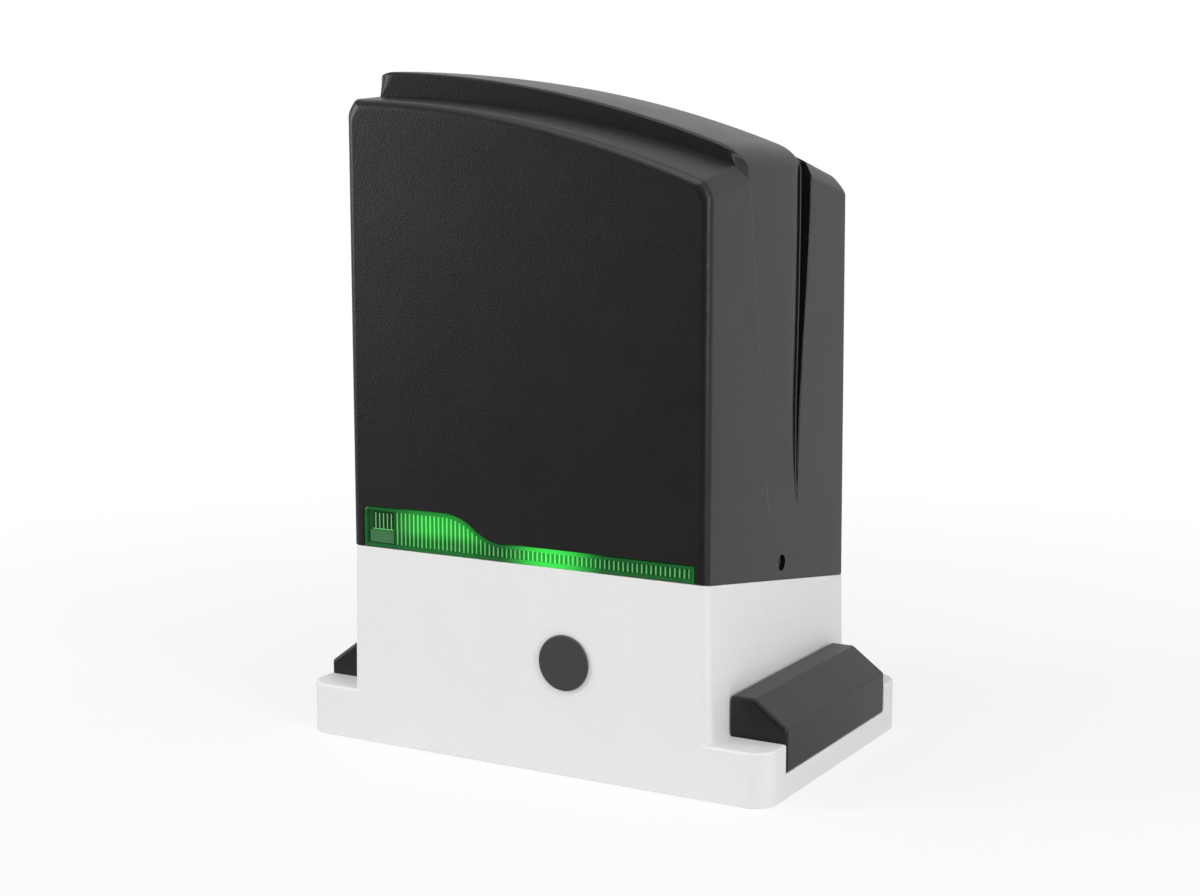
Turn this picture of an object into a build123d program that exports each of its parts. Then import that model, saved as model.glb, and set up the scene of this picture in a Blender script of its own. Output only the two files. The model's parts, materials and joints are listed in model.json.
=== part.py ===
from build123d import *
from math import atan, cos, degrees, pi, radians, sin, tan
import os

# Sliding gate motor. Millimetres, X to the right, Y from the front to the gate, Z up.
# The origin is the middle of the foot's underside.

# Clearances, and how far a cut runs past the face where it starts
slip_gap = 0.3
running_gap = 0.03
seat_gap = 0.02
cut_past = 1.0
hexagon = 6

# Foot and body of the base
foot_width = 260.0
foot_depth = 162.0
foot_height = 26.0
foot_corner = 12.0
body_width = 198.0
foot_rear_ledge = 3.0
body_corner = 5.0
body_flare = 2.0
base_wall = 5.0
base_floor = 6.0
parting_front = 100.6
parting_rear = 77.0
edge_round = 1.2

# Pockets and anchor holes in the foot
pocket_length = 120.0
pocket_floor = 12.0
anchor_edge = 15.0
anchor_spacing_y = 80.0
anchor_hole_radius = 5.5

# Bolt covers
hood_top = 44.9
hood_shoulder = 32.5
hood_flat = 11.8
hood_wall = 2.5
hood_round = 2.0

# Cover
cover_wall = 2.5
cover_corner = 4.0
cover_top_corner = 7.0
cover_rear_lean = 4.0
front_left_top = 319.8
front_middle_top = 308.5
front_right_top = 279.2
shoulder_rise_left = 2.9
shoulder_rise_middle = 5.3
shoulder_rise_right = 7.8
ridge_rise = 14.2
ridge_crown = 2.6
ridge_rear_rise = 11.5
ridge_stations = 7
ridge_corner = 11.0
ridge_front_left = 23.0
ridge_front_right = 33.0
ridge_rear = 99.0
cover_edge_round = 2.5
front_round_steps = 3
rear_round_steps = 4
rear_edge_round = 11.0
rear_shell_rise = 2.0

# Side channel between the ridge and the rear shell
channel_top_width = 12.0
channel_tip_height = 125.0
channel_depth = 5.5
channel_rear_top = 111.5

# Shallow recess of the side between the front shell and the channel
recess_depth = 1.0
recess_front_top = 36.0
recess_front_bottom = 65.5

# Signal lens
lens_left_gap = 8.3
lens_right_gap = 6.4
lens_block_width = 46.7
lens_bend_width = 34.0
lens_strip_top = 108.8
lens_block_top = 120.7
lens_gap = 0.35
lens_flange = 1.2
lens_overlap = 2.0
lens_corner = 2.5
lens_post_radius = 1.8
lens_post_inset = 6.0
lens_post_height = 4.0
lamp_gap = 1.6
lamp_board_thickness = 1.2
lamp_board_inset = 2.0
lamp_board_edge = 1.0
lamp_count = 16
lamp_end_inset = 12.0
lamp_size = 3.0
lamp_thickness = 1.0

# Cover screws
screw_height = 97.0
screw_shank_radius = 2.0
screw_head_radius = 3.5
screw_head_height = 2.2
screw_recess_radius = 4.0
screw_recess_depth = 4.0
screw_boss_radius = 7.0
screw_boss_depth = 5.0
screw_clip_size = 10.0
screw_clip_depth = 3.5
screw_point = 1.5
screw_slot_depth = 1.2
screw_slot_reach = 4.4
screw_slot_width = 1.0
clip_room = 4.0
ear_thickness = 2.5
ear_width = 16.0

# Rim that the cover drops over
lip_height = 6.0
lip_wall = 2.1
lip_gap = 0.4

# Output shaft, bearings and pinion
shaft_x = 24.0
shaft_z = 55.5
shaft_radius = 10.0
shaft_collar_radius = 13.0
bearing_outer_radius = 21.0
bearing_width = 12.0
seal_radius = 17.5
seal_width = 7.0
bearing_shoulder = 3.0
bearing_balls = 8
seal_step = 2.5
collar_gap = 1.0
pinion_module = 4.0
pinion_teeth = 16
pinion_width = 26.0
pinion_standoff = 5.0
pinion_bolt_radius = 4.0
pinion_bolt_length = 18.0
pinion_bolt_hole = 20.0
pinion_bolt_head = 7.5
pinion_bolt_head_height = 5.3
pinion_washer_radius = 15.0
pinion_washer_thickness = 2.5
key_width = 6.0
key_height = 6.0
key_start = 3.0

# Worm gear
worm_module = 2.0
wheel_teeth = 36
worm_pitch_radius = 9.0
wheel_width = 18.0
wheel_hub_radius = 20.0
wheel_hub_front = 2.0
wheel_hub_rear = 3.0
worm_turns = 7
worm_root_share = 1.2
worm_end = 2.0
thread_sink = 0.3
tooth_slack = 0.35
tooth_root_share = 1.25
tooth_sink = 0.97
pressure_angle = 20.0

# Gear chamber
chamber_side_gap = 4.0
chamber_corner_room = 3.0
collar_room = 8.0
chamber_top = 98.0
chamber_front_wall = 14.0
gasket_thickness = 1.0
lid_thickness = 10.0
lid_screw_radius = 2.5
lid_screw_head = 4.2
lid_screw_head_height = 4.0
lid_screw_boss = 5.5
lid_screw_offset = 6.0
lid_screw_depth = 12.0
lid_screw_end_gap = 2.0
lid_margin = 2.0
lid_front_gap = 2.5
lid_shaft_room = 3.0
motor_screw_depth = 7.0

# Motor
motor_radius = 33.0
motor_wall = 2.5
motor_flange_size = 74.0
motor_flange_thickness = 6.0
motor_flange_corner = 6.0
motor_flange_room = 1.5
motor_screw_offset = 30.0
motor_screw_radius = 2.5
motor_screw_head = 4.2
motor_screw_head_height = 4.0
motor_length = 90.0
end_bell_height = 16.0
end_bell_round = 3.0
end_bell_roof = 8.0
end_bell_wall = 6.0
motor_shaft_radius = 5.0
motor_shaft_reach = 10.0
magnet_thickness = 6.0
magnet_past_armature = 4.0
magnet_parting = 18.0
armature_radius = 22.6
armature_length = 58.0
armature_start = 12.0
armature_slots = 12
armature_slot_inset = 2.5
armature_slot_depth = 6.0
armature_slot_width = 2.2
commutator_radius = 11.0
commutator_length = 10.0
commutator_gap = 5.0
brush_width = 6.0
brush_edge = 1.0
worm_bearing_radius = 13.0
worm_bearing_width = 8.0
worm_bearing_floor = 3.0
encoder_radius = 15.0
encoder_thickness = 1.5
encoder_height = 4.0
encoder_slots = 12
encoder_slot_inset = 3.0
encoder_slot_length = 4.0
encoder_slot_width = 2.0
sensor_width = 12.0
sensor_height = 12.0
sensor_post = 8.0
sensor_post_gap = 2.0
sensor_overlap = 6.0
sensor_gap = 1.5

# Hand release
cap_radius = 13.5
cap_proud = 1.5
cap_round = 0.8
cap_plug_radius = 11.5
cap_plug_depth = 4.0
cap_plug_wall = 2.0
spindle_radius = 8.0
spindle_screw_radius = 5.0
spindle_flange_radius = 11.0
spindle_flange_width = 2.5
spindle_boss_radius = 14.0
spindle_boss_length = 1.0
spindle_socket_sides = 3
spindle_socket_radius = 6.2
spindle_socket_depth = 6.0
spindle_end = 1.0
clutch_travel = 6.0
clutch_radius = 17.0
clutch_groove_radius = 13.0
clutch_groove_start = 6.0
clutch_groove_width = 5.0
clutch_length = 25.0
clutch_gap = 5.0
dog_depth = 5.0
dog_count = 4
dog_width = 7.0
dog_inner_step = 1.5
dog_outer_step = 1.0
fork_front_gap = 2.2
fork_plate = 4.0
fork_plate_width = 46.0
fork_plate_height = 48.0
fork_hub_length = 8.0
fork_hub_radius = 9.0
fork_arm_gap = 1.0
fork_arm_height = 10.0
fork_arm_thickness = 4.0
guide_pin_radius = 3.0
guide_pin_offset = 18.0
guide_pin_gap = 0.1
guide_pin_end = 1.0
shaft_front_reach = 3.0

# Transformer
transformer_x = 50.0
transformer_behind_motor = 16.0
transformer_radius = 32.0
transformer_bore = 13.0
transformer_height = 42.0
transformer_round = 7.0
bracket_thickness = 3.0
bracket_leg = 7.0
bracket_half_depth = 24.0
clamp_radius = 25.0
clamp_thickness = 2.0
clamp_bolt_radius = 4.0
clamp_bolt_end = 0.5
clamp_nut_radius = 7.5
clamp_nut_height = 6.0

# Control board
carrier_from_front = 34.0
carrier_thickness = 3.0
carrier_left = -78.0
carrier_right = 62.0
carrier_top = 262.0
carrier_foot_margin = 6.0
standoff_length = 5.4
standoff_radius = 3.0
standoff_inset = 5.0
standoff_head = 1.5
standoff_pin_radius = 1.4
standoff_pin_sink = 0.5
carrier_hole_radius = 1.5
board_thickness = 1.6
board_margin = 5.0
board_above_lid = 12.0
terminal_count = 4
terminal_gap = 3.0
terminal_inset = 12.0
terminal_trim = 8.0
terminal_bottom = 2.0
terminal_height = 12.0
terminal_depth = 11.0
relay_count = 3
relay_inset = 14.0
relay_width = 19.0
relay_gap = 3.0
relay_bottom = 34.0
relay_height = 16.0
relay_depth = 14.5
capacitor_count = 3
capacitor_inset = 14.0
capacitor_gap = 3.0
capacitor_height = 66.0
capacitor_radius = 8.0
capacitor_length = 15.0
display_inset = 20.0
display_width = 40.0
display_height = 16.0
display_drop = 34.0
display_depth = 8.0
button_inset = 74.0
button_pitch = 14.0
button_drop = 42.0
button_size = 6.0
button_body_depth = 3.5
button_floor = 1.0
button_floor_gap = 0.2
button_radius = 1.7
button_reach = 2.5
button_travel = 0.5

# Limit switch
limit_width = 32.0
limit_depth = 28.0
limit_top = 128.0
limit_wall = 3.0
limit_slot_width = 22.0
limit_slot_room = 1.0
limit_pin_radius = 2.0
lever_pivot_inset = 14.0
lever_height = 115.0
lever_hub_radius = 5.0
lever_hub_height = 14.0
lever_cam_width = 4.0
lever_cam_length = 9.0
lever_neck = 8.0
lever_length = 58.0
lever_spring_radius = 3.2
lever_spring_step = 0.4
lever_spring_round = 2.0
microswitch_width = 5.6
microswitch_below = 9.0
microswitch_above = 5.0
microswitch_past_pivot = 2.0

# Cable inlet
inlet_from_side = 29.0
inlet_from_front = 51.0
inlet_radius = 18.0
grommet_bore = 13.0
grommet_bottom = 1.0
grommet_flange = 3.0
grommet_flange_width = 4.0
grommet_round = 1.0

# Places worked out from the sizes
front_y = -foot_depth / 2
rear_y = foot_depth / 2 - foot_rear_ledge
body_depth = rear_y - front_y
body_middle_y = (front_y + rear_y) / 2
half_body = body_width / 2
inner_front_y = front_y + base_wall
inner_rear_y = rear_y - base_wall
half_inner = half_body - base_wall
pocket_inner = half_body + body_flare
anchor_spacing_x = foot_width - 2 * anchor_edge
inlet_x = inlet_from_side - half_body
inlet_y = front_y + inlet_from_front
parting_slope = (parting_front - parting_rear) / body_depth
parting_plane = Plane(
    origin=(0, front_y, parting_front), x_dir=(1, 0, 0), z_dir=(0, parting_slope, 1)
)
cover_bottom_plane = parting_plane.offset(slip_gap)
lens_left = lens_left_gap - half_body
lens_right = half_body - lens_right_gap
lens_bend_start = lens_left + lens_block_width
lens_bend_end = lens_bend_start + lens_bend_width

# Places along the output axis, from the front to the rear
chamber_front = front_y + chamber_front_wall
socket_mouth = front_y + cap_plug_depth + 2 * slip_gap
spindle_shoulder = chamber_front + spindle_boss_length + slip_gap
fork_hub_start = spindle_shoulder + spindle_flange_width + fork_front_gap + clutch_travel
fork_hub_end = fork_hub_start + fork_hub_length
clutch_front = fork_hub_end + clutch_gap
clutch_end = clutch_front + clutch_length
wheel_front = clutch_end + wheel_hub_front
wheel_middle = wheel_front + wheel_width / 2
wheel_rear = wheel_front + wheel_width
hub_front = clutch_end + slip_gap
hub_rear = wheel_rear + wheel_hub_rear
web_front = hub_rear + collar_room
front_bearing_y = web_front + bearing_shoulder
web_rear = front_bearing_y + bearing_width
rear_bearing_end = rear_y - seal_width - bearing_shoulder
rear_bearing_y = rear_bearing_end - bearing_width
pinion_front = rear_y + pinion_standoff
pinion_rear = pinion_front + pinion_width

# Places of the worm gear, the motor and the lid
wheel_pitch_radius = worm_module * wheel_teeth / 2
wheel_tip_radius = wheel_pitch_radius + worm_module
worm_lead = pi * worm_module
worm_lead_angle = atan(worm_module / (2 * worm_pitch_radius))
motor_x = shaft_x - wheel_pitch_radius - worm_pitch_radius
motor_y = wheel_middle
chamber_left = motor_x - worm_pitch_radius - worm_module - chamber_side_gap - chamber_corner_room
chamber_right = shaft_x + wheel_tip_radius + chamber_side_gap
lid_bottom = chamber_top + gasket_thickness
lid_top = lid_bottom + lid_thickness
lid_left = motor_x - motor_flange_size / 2 - lid_margin
lid_right = chamber_right + lid_screw_offset + lid_screw_boss + slip_gap
lid_front = inner_front_y + lid_front_gap
lid_rear = max(web_rear, motor_y + motor_flange_size / 2) + lid_margin
flange_top = lid_top + motor_flange_thickness
can_top = flange_top + motor_length
bell_top = can_top + end_bell_height
transformer_y = motor_y + transformer_behind_motor
carrier_face = front_y + carrier_from_front
limit_front = rear_y - limit_depth
lever_pivot_y = rear_y - lever_pivot_inset
bearing_seat_z = base_floor + worm_bearing_floor
lid_screw_places = [
    (chamber_left - lid_screw_offset, chamber_front + lid_screw_boss),
    (chamber_left - lid_screw_offset, web_front - lid_screw_boss),
    (chamber_right + lid_screw_offset, chamber_front + lid_screw_boss),
    (chamber_right + lid_screw_offset, web_rear - lid_screw_boss),
    (shaft_x, (web_front + web_rear) / 2),
    (shaft_x, (lid_front + chamber_front) / 2 + slip_gap),
]


def height_on_parting(y):
    """Height of the parting plane between base and cover at a distance along Y."""
    return parting_front - parting_slope * (y - front_y)


# Helpers that draw in the part that is being built


def block(x0, x1, y0, y1, z0, z1, mode=Mode.ADD):
    """Box between two corners."""
    with BuildSketch(Plane.XY.offset(z0)) as outline:
        with Locations(((x0 + x1) / 2, (y0 + y1) / 2)):
            Rectangle(x1 - x0, y1 - y0)
    extrude(outline.sketch, amount=z1 - z0, mode=mode)


def upright(x, y, z0, z1, outer, inner=0.0, mode=Mode.ADD):
    """Round bar or tube along Z."""
    with BuildSketch(Plane.XY.offset(z0)) as outline:
        with Locations((x, y)):
            Circle(outer)
            if inner > 0:
                Circle(inner, mode=Mode.SUBTRACT)
    extrude(outline.sketch, amount=z1 - z0, mode=mode)


def lengthwise(x, z, y0, y1, outer, inner=0.0, mode=Mode.ADD):
    """Round bar or tube along Y."""
    with BuildSketch(Plane.XZ.offset(-y0)) as outline:
        with Locations((x, z)):
            Circle(outer)
            if inner > 0:
                Circle(inner, mode=Mode.SUBTRACT)
    extrude(outline.sketch, amount=y0 - y1, mode=mode)


def crosswise(y, z, x0, x1, outer, inner=0.0, mode=Mode.ADD):
    """Round bar or tube along X."""
    with BuildSketch(Plane.YZ.offset(x0)) as outline:
        with Locations((y, z)):
            Circle(outer)
            if inner > 0:
                Circle(inner, mode=Mode.SUBTRACT)
    extrude(outline.sketch, amount=x1 - x0, mode=mode)


def deep_groove_bearing_y(x, z, y0, y1, outer, inner):
    """Two rings and the balls of a bearing along Y."""
    ring = (outer - inner) / 4
    lengthwise(x, z, y0, y1, outer, outer - ring)
    lengthwise(x, z, y0, y1, inner + ring, inner)
    with Locations(Plane.XZ.offset(-(y0 + y1) / 2).location * Pos(x, z)):
        with PolarLocations((outer + inner) / 2, bearing_balls):
            Sphere(ring - seat_gap)


def deep_groove_bearing_z(x, y, z0, z1, outer, inner):
    """Two rings and the balls of a bearing along Z."""
    ring = (outer - inner) / 4
    upright(x, y, z0, z1, outer, outer - ring)
    upright(x, y, z0, z1, inner + ring, inner)
    with Locations((x, y, (z0 + z1) / 2)):
        with PolarLocations((outer + inner) / 2, bearing_balls):
            Sphere(ring - seat_gap)


def toothed_disc(module, teeth, slack):
    """Straight-flanked gear outline about the sketch's origin, thinned by the slack."""
    pitch_radius = module * teeth / 2
    tip = pitch_radius + module - slack / 2
    root = pitch_radius - tooth_root_share * module
    flank_slope = tan(radians(pressure_angle))
    half_root = pi * module / 4 + (pitch_radius - root) * flank_slope - slack / 2
    half_tip = pi * module / 4 - (tip - pitch_radius) * flank_slope - slack / 2
    foot = root * tooth_sink
    Circle(root)
    with PolarLocations(0, teeth):
        Polygon((foot, -half_root), (tip, -half_tip), (tip, half_tip), (foot, half_root), align=None)


# Base casting


with BuildPart() as casting_block:
    with BuildSketch():
        with Locations((0, body_middle_y)):
            RectangleRounded(body_width + 2 * body_flare, body_depth, body_corner)
    with BuildSketch(Plane.XY.offset(parting_front)):
        with Locations((0, body_middle_y)):
            RectangleRounded(body_width, body_depth, body_corner)
    loft()
    split(bisect_by=parting_plane, keep=Keep.BOTTOM)

rim_width = body_width - 2 * (cover_wall + lip_gap)
rim_depth = body_depth - 2 * (cover_wall + lip_gap)
with BuildPart() as casting_lip:
    with BuildSketch(Plane.XY.offset(foot_height)):
        with Locations((0, body_middle_y)):
            Rectangle(rim_width, rim_depth)
            Rectangle(rim_width - 2 * lip_wall, rim_depth - 2 * lip_wall, mode=Mode.SUBTRACT)
    extrude(amount=parting_front)
    split(bisect_by=parting_plane.offset(lip_height), keep=Keep.BOTTOM)

ear_face = half_body - cover_wall - screw_boss_depth - slip_gap
with BuildPart() as base_casting:
    with BuildSketch():
        RectangleRounded(foot_width, foot_depth, foot_corner)
    extrude(amount=foot_height)
    fillet(base_casting.faces().sort_by(Axis.Z)[-1].edges(), edge_round)
    add(casting_block.part)
    for side in (-1, 1):
        block(
            min(side * pocket_inner, side * foot_width), max(side * pocket_inner, side * foot_width),
            -pocket_length / 2, pocket_length / 2, pocket_floor, parting_front, mode=Mode.SUBTRACT,
        )
    # Tub around the gear chamber
    block(
        -half_inner, half_inner, inner_front_y, inner_rear_y, base_floor, parting_front, mode=Mode.SUBTRACT
    )
    add(casting_lip.part)
    # Solid under the lip, then the gear chamber with its web
    block(
        chamber_left - base_wall, chamber_right + base_wall, inner_front_y - seat_gap, web_rear,
        base_floor - seat_gap, chamber_top,
    )
    for place in lid_screw_places:
        upright(*place, base_floor - seat_gap, chamber_top, lid_screw_boss)
    block(
        chamber_left, chamber_right, chamber_front, web_front, base_floor, chamber_top + lip_height,
        mode=Mode.SUBTRACT,
    )
    # Boss of the rear bearing with the seat of the limit switch on top
    lengthwise(shaft_x, shaft_z, rear_bearing_y, inner_rear_y + seat_gap, bearing_outer_radius + base_wall)
    block(
        shaft_x - limit_width / 2, shaft_x + limit_width / 2, rear_bearing_y, inner_rear_y - lip_wall,
        shaft_z, shaft_z + bearing_outer_radius + base_wall,
    )
    # Boss of the release spindle and of the lower worm bearing
    lengthwise(
        shaft_x, shaft_z, front_y + base_wall, chamber_front + spindle_boss_length, spindle_boss_radius
    )
    upright(
        motor_x, motor_y, base_floor - seat_gap, bearing_seat_z + worm_bearing_width,
        worm_bearing_radius + base_wall,
    )
    # Ears that the cover screws clamp
    for side in (-1, 1):
        inner = side * (ear_face - ear_thickness)
        wall = side * (half_inner + seat_gap)
        block(
            min(inner, wall), max(inner, wall), -ear_width / 2, ear_width / 2,
            foot_height, height_on_parting(0) - screw_boss_radius / 2,
        )
        outer = side * ear_face
        block(
            min(inner, outer), max(inner, outer), -ear_width / 2, ear_width / 2,
            foot_height, screw_height + screw_boss_radius,
        )
        # Room for the cover's screw boss in the lip
        outside = side * (half_body - cover_wall)
        block(
            min(outer, outside), max(outer, outside), -ear_width / 2 - cut_past, ear_width / 2 + cut_past,
            height_on_parting(0) - screw_boss_radius / 2, screw_height + screw_boss_radius,
            mode=Mode.SUBTRACT,
        )
    # Slots of the ears, open upwards
    slot_half = screw_shank_radius + slip_gap
    for side in (-1, 1):
        inner = side * (half_inner - ear_thickness - screw_boss_depth - clip_room)
        outer = side * (half_inner + seat_gap)
        block(
            min(inner, outer), max(inner, outer), -slot_half, slot_half,
            screw_height - slot_half, screw_height + 2 * screw_boss_radius, mode=Mode.SUBTRACT,
        )
        # Room for the clip behind the ear
        clip_outer = side * (ear_face - ear_thickness)
        block(
            min(inner, clip_outer), max(inner, clip_outer), -screw_clip_size, screw_clip_size,
            screw_height - screw_clip_size, screw_height + 2 * screw_boss_radius, mode=Mode.SUBTRACT,
        )
    # Gap in the lip for the limit switch
    block(
        shaft_x - limit_width / 2 - slip_gap, shaft_x + limit_width / 2 + slip_gap,
        inner_rear_y - lip_wall, rear_y, parting_rear - slip_gap, parting_front, mode=Mode.SUBTRACT,
    )
    # Bearing seats, seal seat and shaft passage along the output axis
    lengthwise(
        shaft_x, shaft_z, front_bearing_y, web_rear + cut_past, bearing_outer_radius + seat_gap,
        mode=Mode.SUBTRACT,
    )
    lengthwise(
        shaft_x, shaft_z, rear_bearing_y - cut_past, rear_bearing_end, bearing_outer_radius + seat_gap,
        mode=Mode.SUBTRACT,
    )
    lengthwise(
        shaft_x, shaft_z, rear_y - seal_width, rear_y + cut_past, seal_radius + seat_gap, mode=Mode.SUBTRACT
    )
    lengthwise(shaft_x, shaft_z, web_front - cut_past, rear_y, seal_radius - seal_step, mode=Mode.SUBTRACT)
    # Seat of the cap and bore of the release spindle
    lengthwise(
        shaft_x, shaft_z, front_y - cut_past, front_y + cap_plug_depth + slip_gap,
        cap_plug_radius + slip_gap,
        mode=Mode.SUBTRACT,
    )
    lengthwise(
        shaft_x, shaft_z, front_y, chamber_front + spindle_boss_length + cut_past,
        spindle_radius + running_gap,
        mode=Mode.SUBTRACT,
    )
    # Room for the lens and its lamps, where the front has no lip
    block(
        lens_left - lens_overlap - slip_gap, lens_right + lens_overlap + slip_gap,
        front_y + cover_wall + lip_gap - seat_gap, inner_front_y + lip_wall,
        height_on_parting(inner_front_y), parting_front + 2 * lip_height, mode=Mode.SUBTRACT,
    )
    # Holes of the lid screws
    for place in lid_screw_places:
        upright(
            *place, chamber_top - lid_screw_depth, chamber_top + cut_past, lid_screw_radius + seat_gap,
            mode=Mode.SUBTRACT,
        )
    # Holes of the two guide pins
    for side in (-1, 1):
        lengthwise(
            shaft_x, shaft_z + side * guide_pin_offset, chamber_front - base_wall, chamber_front + cut_past,
            guide_pin_radius + seat_gap, mode=Mode.SUBTRACT,
        )
    # Pocket of the lower worm bearing
    upright(
        motor_x, motor_y, bearing_seat_z, bearing_seat_z + worm_bearing_width + cut_past,
        worm_bearing_radius + seat_gap, mode=Mode.SUBTRACT,
    )
    # Anchor holes and cable inlet
    with BuildSketch():
        with GridLocations(anchor_spacing_x, anchor_spacing_y, 2, 2):
            Circle(anchor_hole_radius)
        with Locations((inlet_x, inlet_y)):
            Circle(inlet_radius)
    extrude(amount=foot_height, mode=Mode.SUBTRACT)


# Cover


def section(y, heights, half_width, corner, bottom):
    """Closed outline across the cover at one place along Y, with an arched top."""
    left, middle, right = heights
    with BuildSketch(Plane.XZ.offset(-y)) as outline:
        with BuildLine():
            Polyline((-half_width, left), (-half_width, bottom), (half_width, bottom), (half_width, right))
            ThreePointArc((half_width, right), (0, middle), (-half_width, left))
        make_face()
        top_corners = outline.vertices().filter_by(lambda v: v.Y > bottom + corner)
        fillet(top_corners, corner)
    return outline.sketch


front_tops = (front_left_top, front_middle_top, front_right_top)
shoulder_rises = (shoulder_rise_left, shoulder_rise_middle, shoulder_rise_right)


def raised(heights, *rises):
    """Heights of an arch after adding rises, each a number or one value for each height."""
    result = list(heights)
    for rise in rises:
        parts = rise if isinstance(rise, tuple) else (rise, rise, rise)
        result = [h + r for h, r in zip(result, parts)]
    return tuple(result)


cover_floor = parting_rear - ear_width
shoulder_y = front_y + ridge_front_right
ridge_rear_y = front_y + ridge_rear


def rounding(radius, steps):
    """Distances from the end and drops from the top along a rounded edge, from the end inwards."""
    turns = [step * pi / 2 / steps for step in range(steps + 1)]
    return [(radius * (1 - cos(turn)), radius * (1 - sin(turn))) for turn in turns]


def shell_sections(inset):
    """Sections of the low shells: front face, foot of the ridge, rear of the ridge, rear face."""
    half = half_body - inset
    corner = cover_top_corner - inset
    front = front_y + inset
    rear = rear_y - inset
    shoulder_tops = raised(front_tops, shoulder_rises, -inset)
    stations = []
    for distance, drop in rounding(cover_edge_round, front_round_steps):
        stations.append((front + distance, raised(front_tops, -inset - drop)))
    stations.append((shoulder_y, shoulder_tops))
    stations.append((ridge_rear_y, raised(shoulder_tops, rear_shell_rise)))
    for distance, drop in reversed(rounding(rear_edge_round, rear_round_steps)):
        stations.append((rear - distance, raised(front_tops, -inset - drop)))
    return [section(y, heights, half, corner, cover_floor) for y, heights in stations]


def ridge_sections(inset):
    """Sections of the tall ridge from its front to its rear, crowned between them."""
    start = front_y + ridge_front_left + inset
    end = ridge_rear_y - inset
    sections = []
    for station in range(ridge_stations):
        share = station / (ridge_stations - 1)
        rise = ridge_rise + (ridge_rear_rise - ridge_rise) * share + 4 * ridge_crown * share * (1 - share)
        y = start + (end - start) * share
        heights = raised(front_tops, rise - inset)
        sections.append(section(y, heights, half_body - inset, ridge_corner - inset, cover_floor))
    return sections


def cover_body(inset):
    """Closed solid of the cover's outside, or of its inside when given the wall as inset."""
    low = loft(shell_sections(inset), ruled=True)
    tall = loft(ridge_sections(inset), ruled=True)
    half = half_body + cut_past
    left_y = front_y + ridge_front_left + inset
    right_y = front_y + ridge_front_right + inset
    plan = Polygon(
        (-half, left_y), (half, right_y), (half, ridge_rear_y - inset), (-half, ridge_rear_y - inset),
        align=None,
    )
    column = extrude(plan, amount=2 * front_left_top)
    return (low - column) + (tall & column)


def side_channel(side, growth):
    """Wedge that cuts the channel beside the ridge, wide at the top and closing to a point."""
    top_z = front_left_top + 2 * ridge_rise
    rear_top = front_y + channel_rear_top + growth
    front_top = rear_top - channel_top_width - 2 * growth
    tip_y = front_y + ridge_rear
    tip_z = channel_tip_height
    face = Polygon(
        (front_top, top_z), (front_top, front_right_top), (tip_y - growth, tip_z), (tip_y + growth, tip_z),
        (rear_top, front_right_top), (rear_top, top_z), align=None,
    )
    depth = channel_depth + growth
    wedge = extrude(Plane.YZ.offset(half_body - depth) * face, amount=2 * depth)
    # The floor of the channel runs out to the side face at the tip
    floor_plane = Plane(
        origin=(half_body - growth, 0, tip_z), x_dir=(0, 1, 0),
        z_dir=(front_right_top - tip_z, 0, 2 * channel_depth),
    )
    wedge = split(wedge, bisect_by=floor_plane, keep=Keep.TOP)
    if side < 0:
        wedge = wedge.mirror(Plane.YZ)
    return wedge


def side_recess(side):
    """Shallow wedge between the front shell and the channel, nothing deep at its lower end."""
    top_z = front_left_top + 2 * ridge_rise
    low_z = channel_tip_height
    face = Polygon(
        (front_y + recess_front_bottom, low_z), (front_y + ridge_rear, low_z),
        (front_y + channel_rear_top, top_z),
        (front_y + recess_front_top, top_z), (front_y + recess_front_top, front_right_top), align=None,
    )
    wedge = extrude(Plane.YZ.offset(half_body - 2 * recess_depth) * face, amount=2 * 2 * recess_depth)
    floor_plane = Plane(
        origin=(half_body, 0, low_z), x_dir=(0, 1, 0), z_dir=(front_right_top - low_z, 0, recess_depth)
    )
    wedge = split(wedge, bisect_by=floor_plane, keep=Keep.TOP)
    if side < 0:
        wedge = wedge.mirror(Plane.YZ)
    return wedge


def lens_outline(growth):
    """Front outline of the lens: a tall block at the left that sweeps down to a thin strip."""
    with BuildSketch(Plane.XZ.offset(-front_y)) as outline:
        with BuildLine():
            base = parting_front - 2 * slip_gap
            bend_middle = ((lens_bend_start + lens_bend_end) / 2, (lens_block_top + lens_strip_top) / 2)
            Polyline(
                (lens_bend_start, lens_block_top), (lens_left, lens_block_top), (lens_left, base),
                (lens_right, base), (lens_right, lens_strip_top), (lens_bend_end, lens_strip_top),
            )
            TangentArc((lens_bend_end, lens_strip_top), bend_middle, tangent=(-1, 0))
            TangentArc((lens_bend_start, lens_block_top), bend_middle, tangent=(1, 0))
        make_face()
        high_corners = outline.vertices().filter_by(lambda v: v.Y > lens_strip_top + lens_corner)
        left_top = high_corners.sort_by(Axis.X)[0]
        fillet(left_top, lens_corner)
        if growth > 0:
            offset(amount=growth)
    return outline.sketch


# The rear face leans forward towards the top
rear_lean = Plane(
    origin=(0, rear_y, parting_rear), x_dir=(1, 0, 0),
    z_dir=(0, front_middle_top - parting_rear, cover_rear_lean),
)
outside = cover_body(0)
inside = split(cover_body(cover_wall), bisect_by=rear_lean.offset(-cover_wall), keep=Keep.BOTTOM)
for side in (-1, 1):
    outside = outside - side_channel(side, 0) - side_recess(side)
    inside = inside - side_channel(side, cover_wall)

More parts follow.
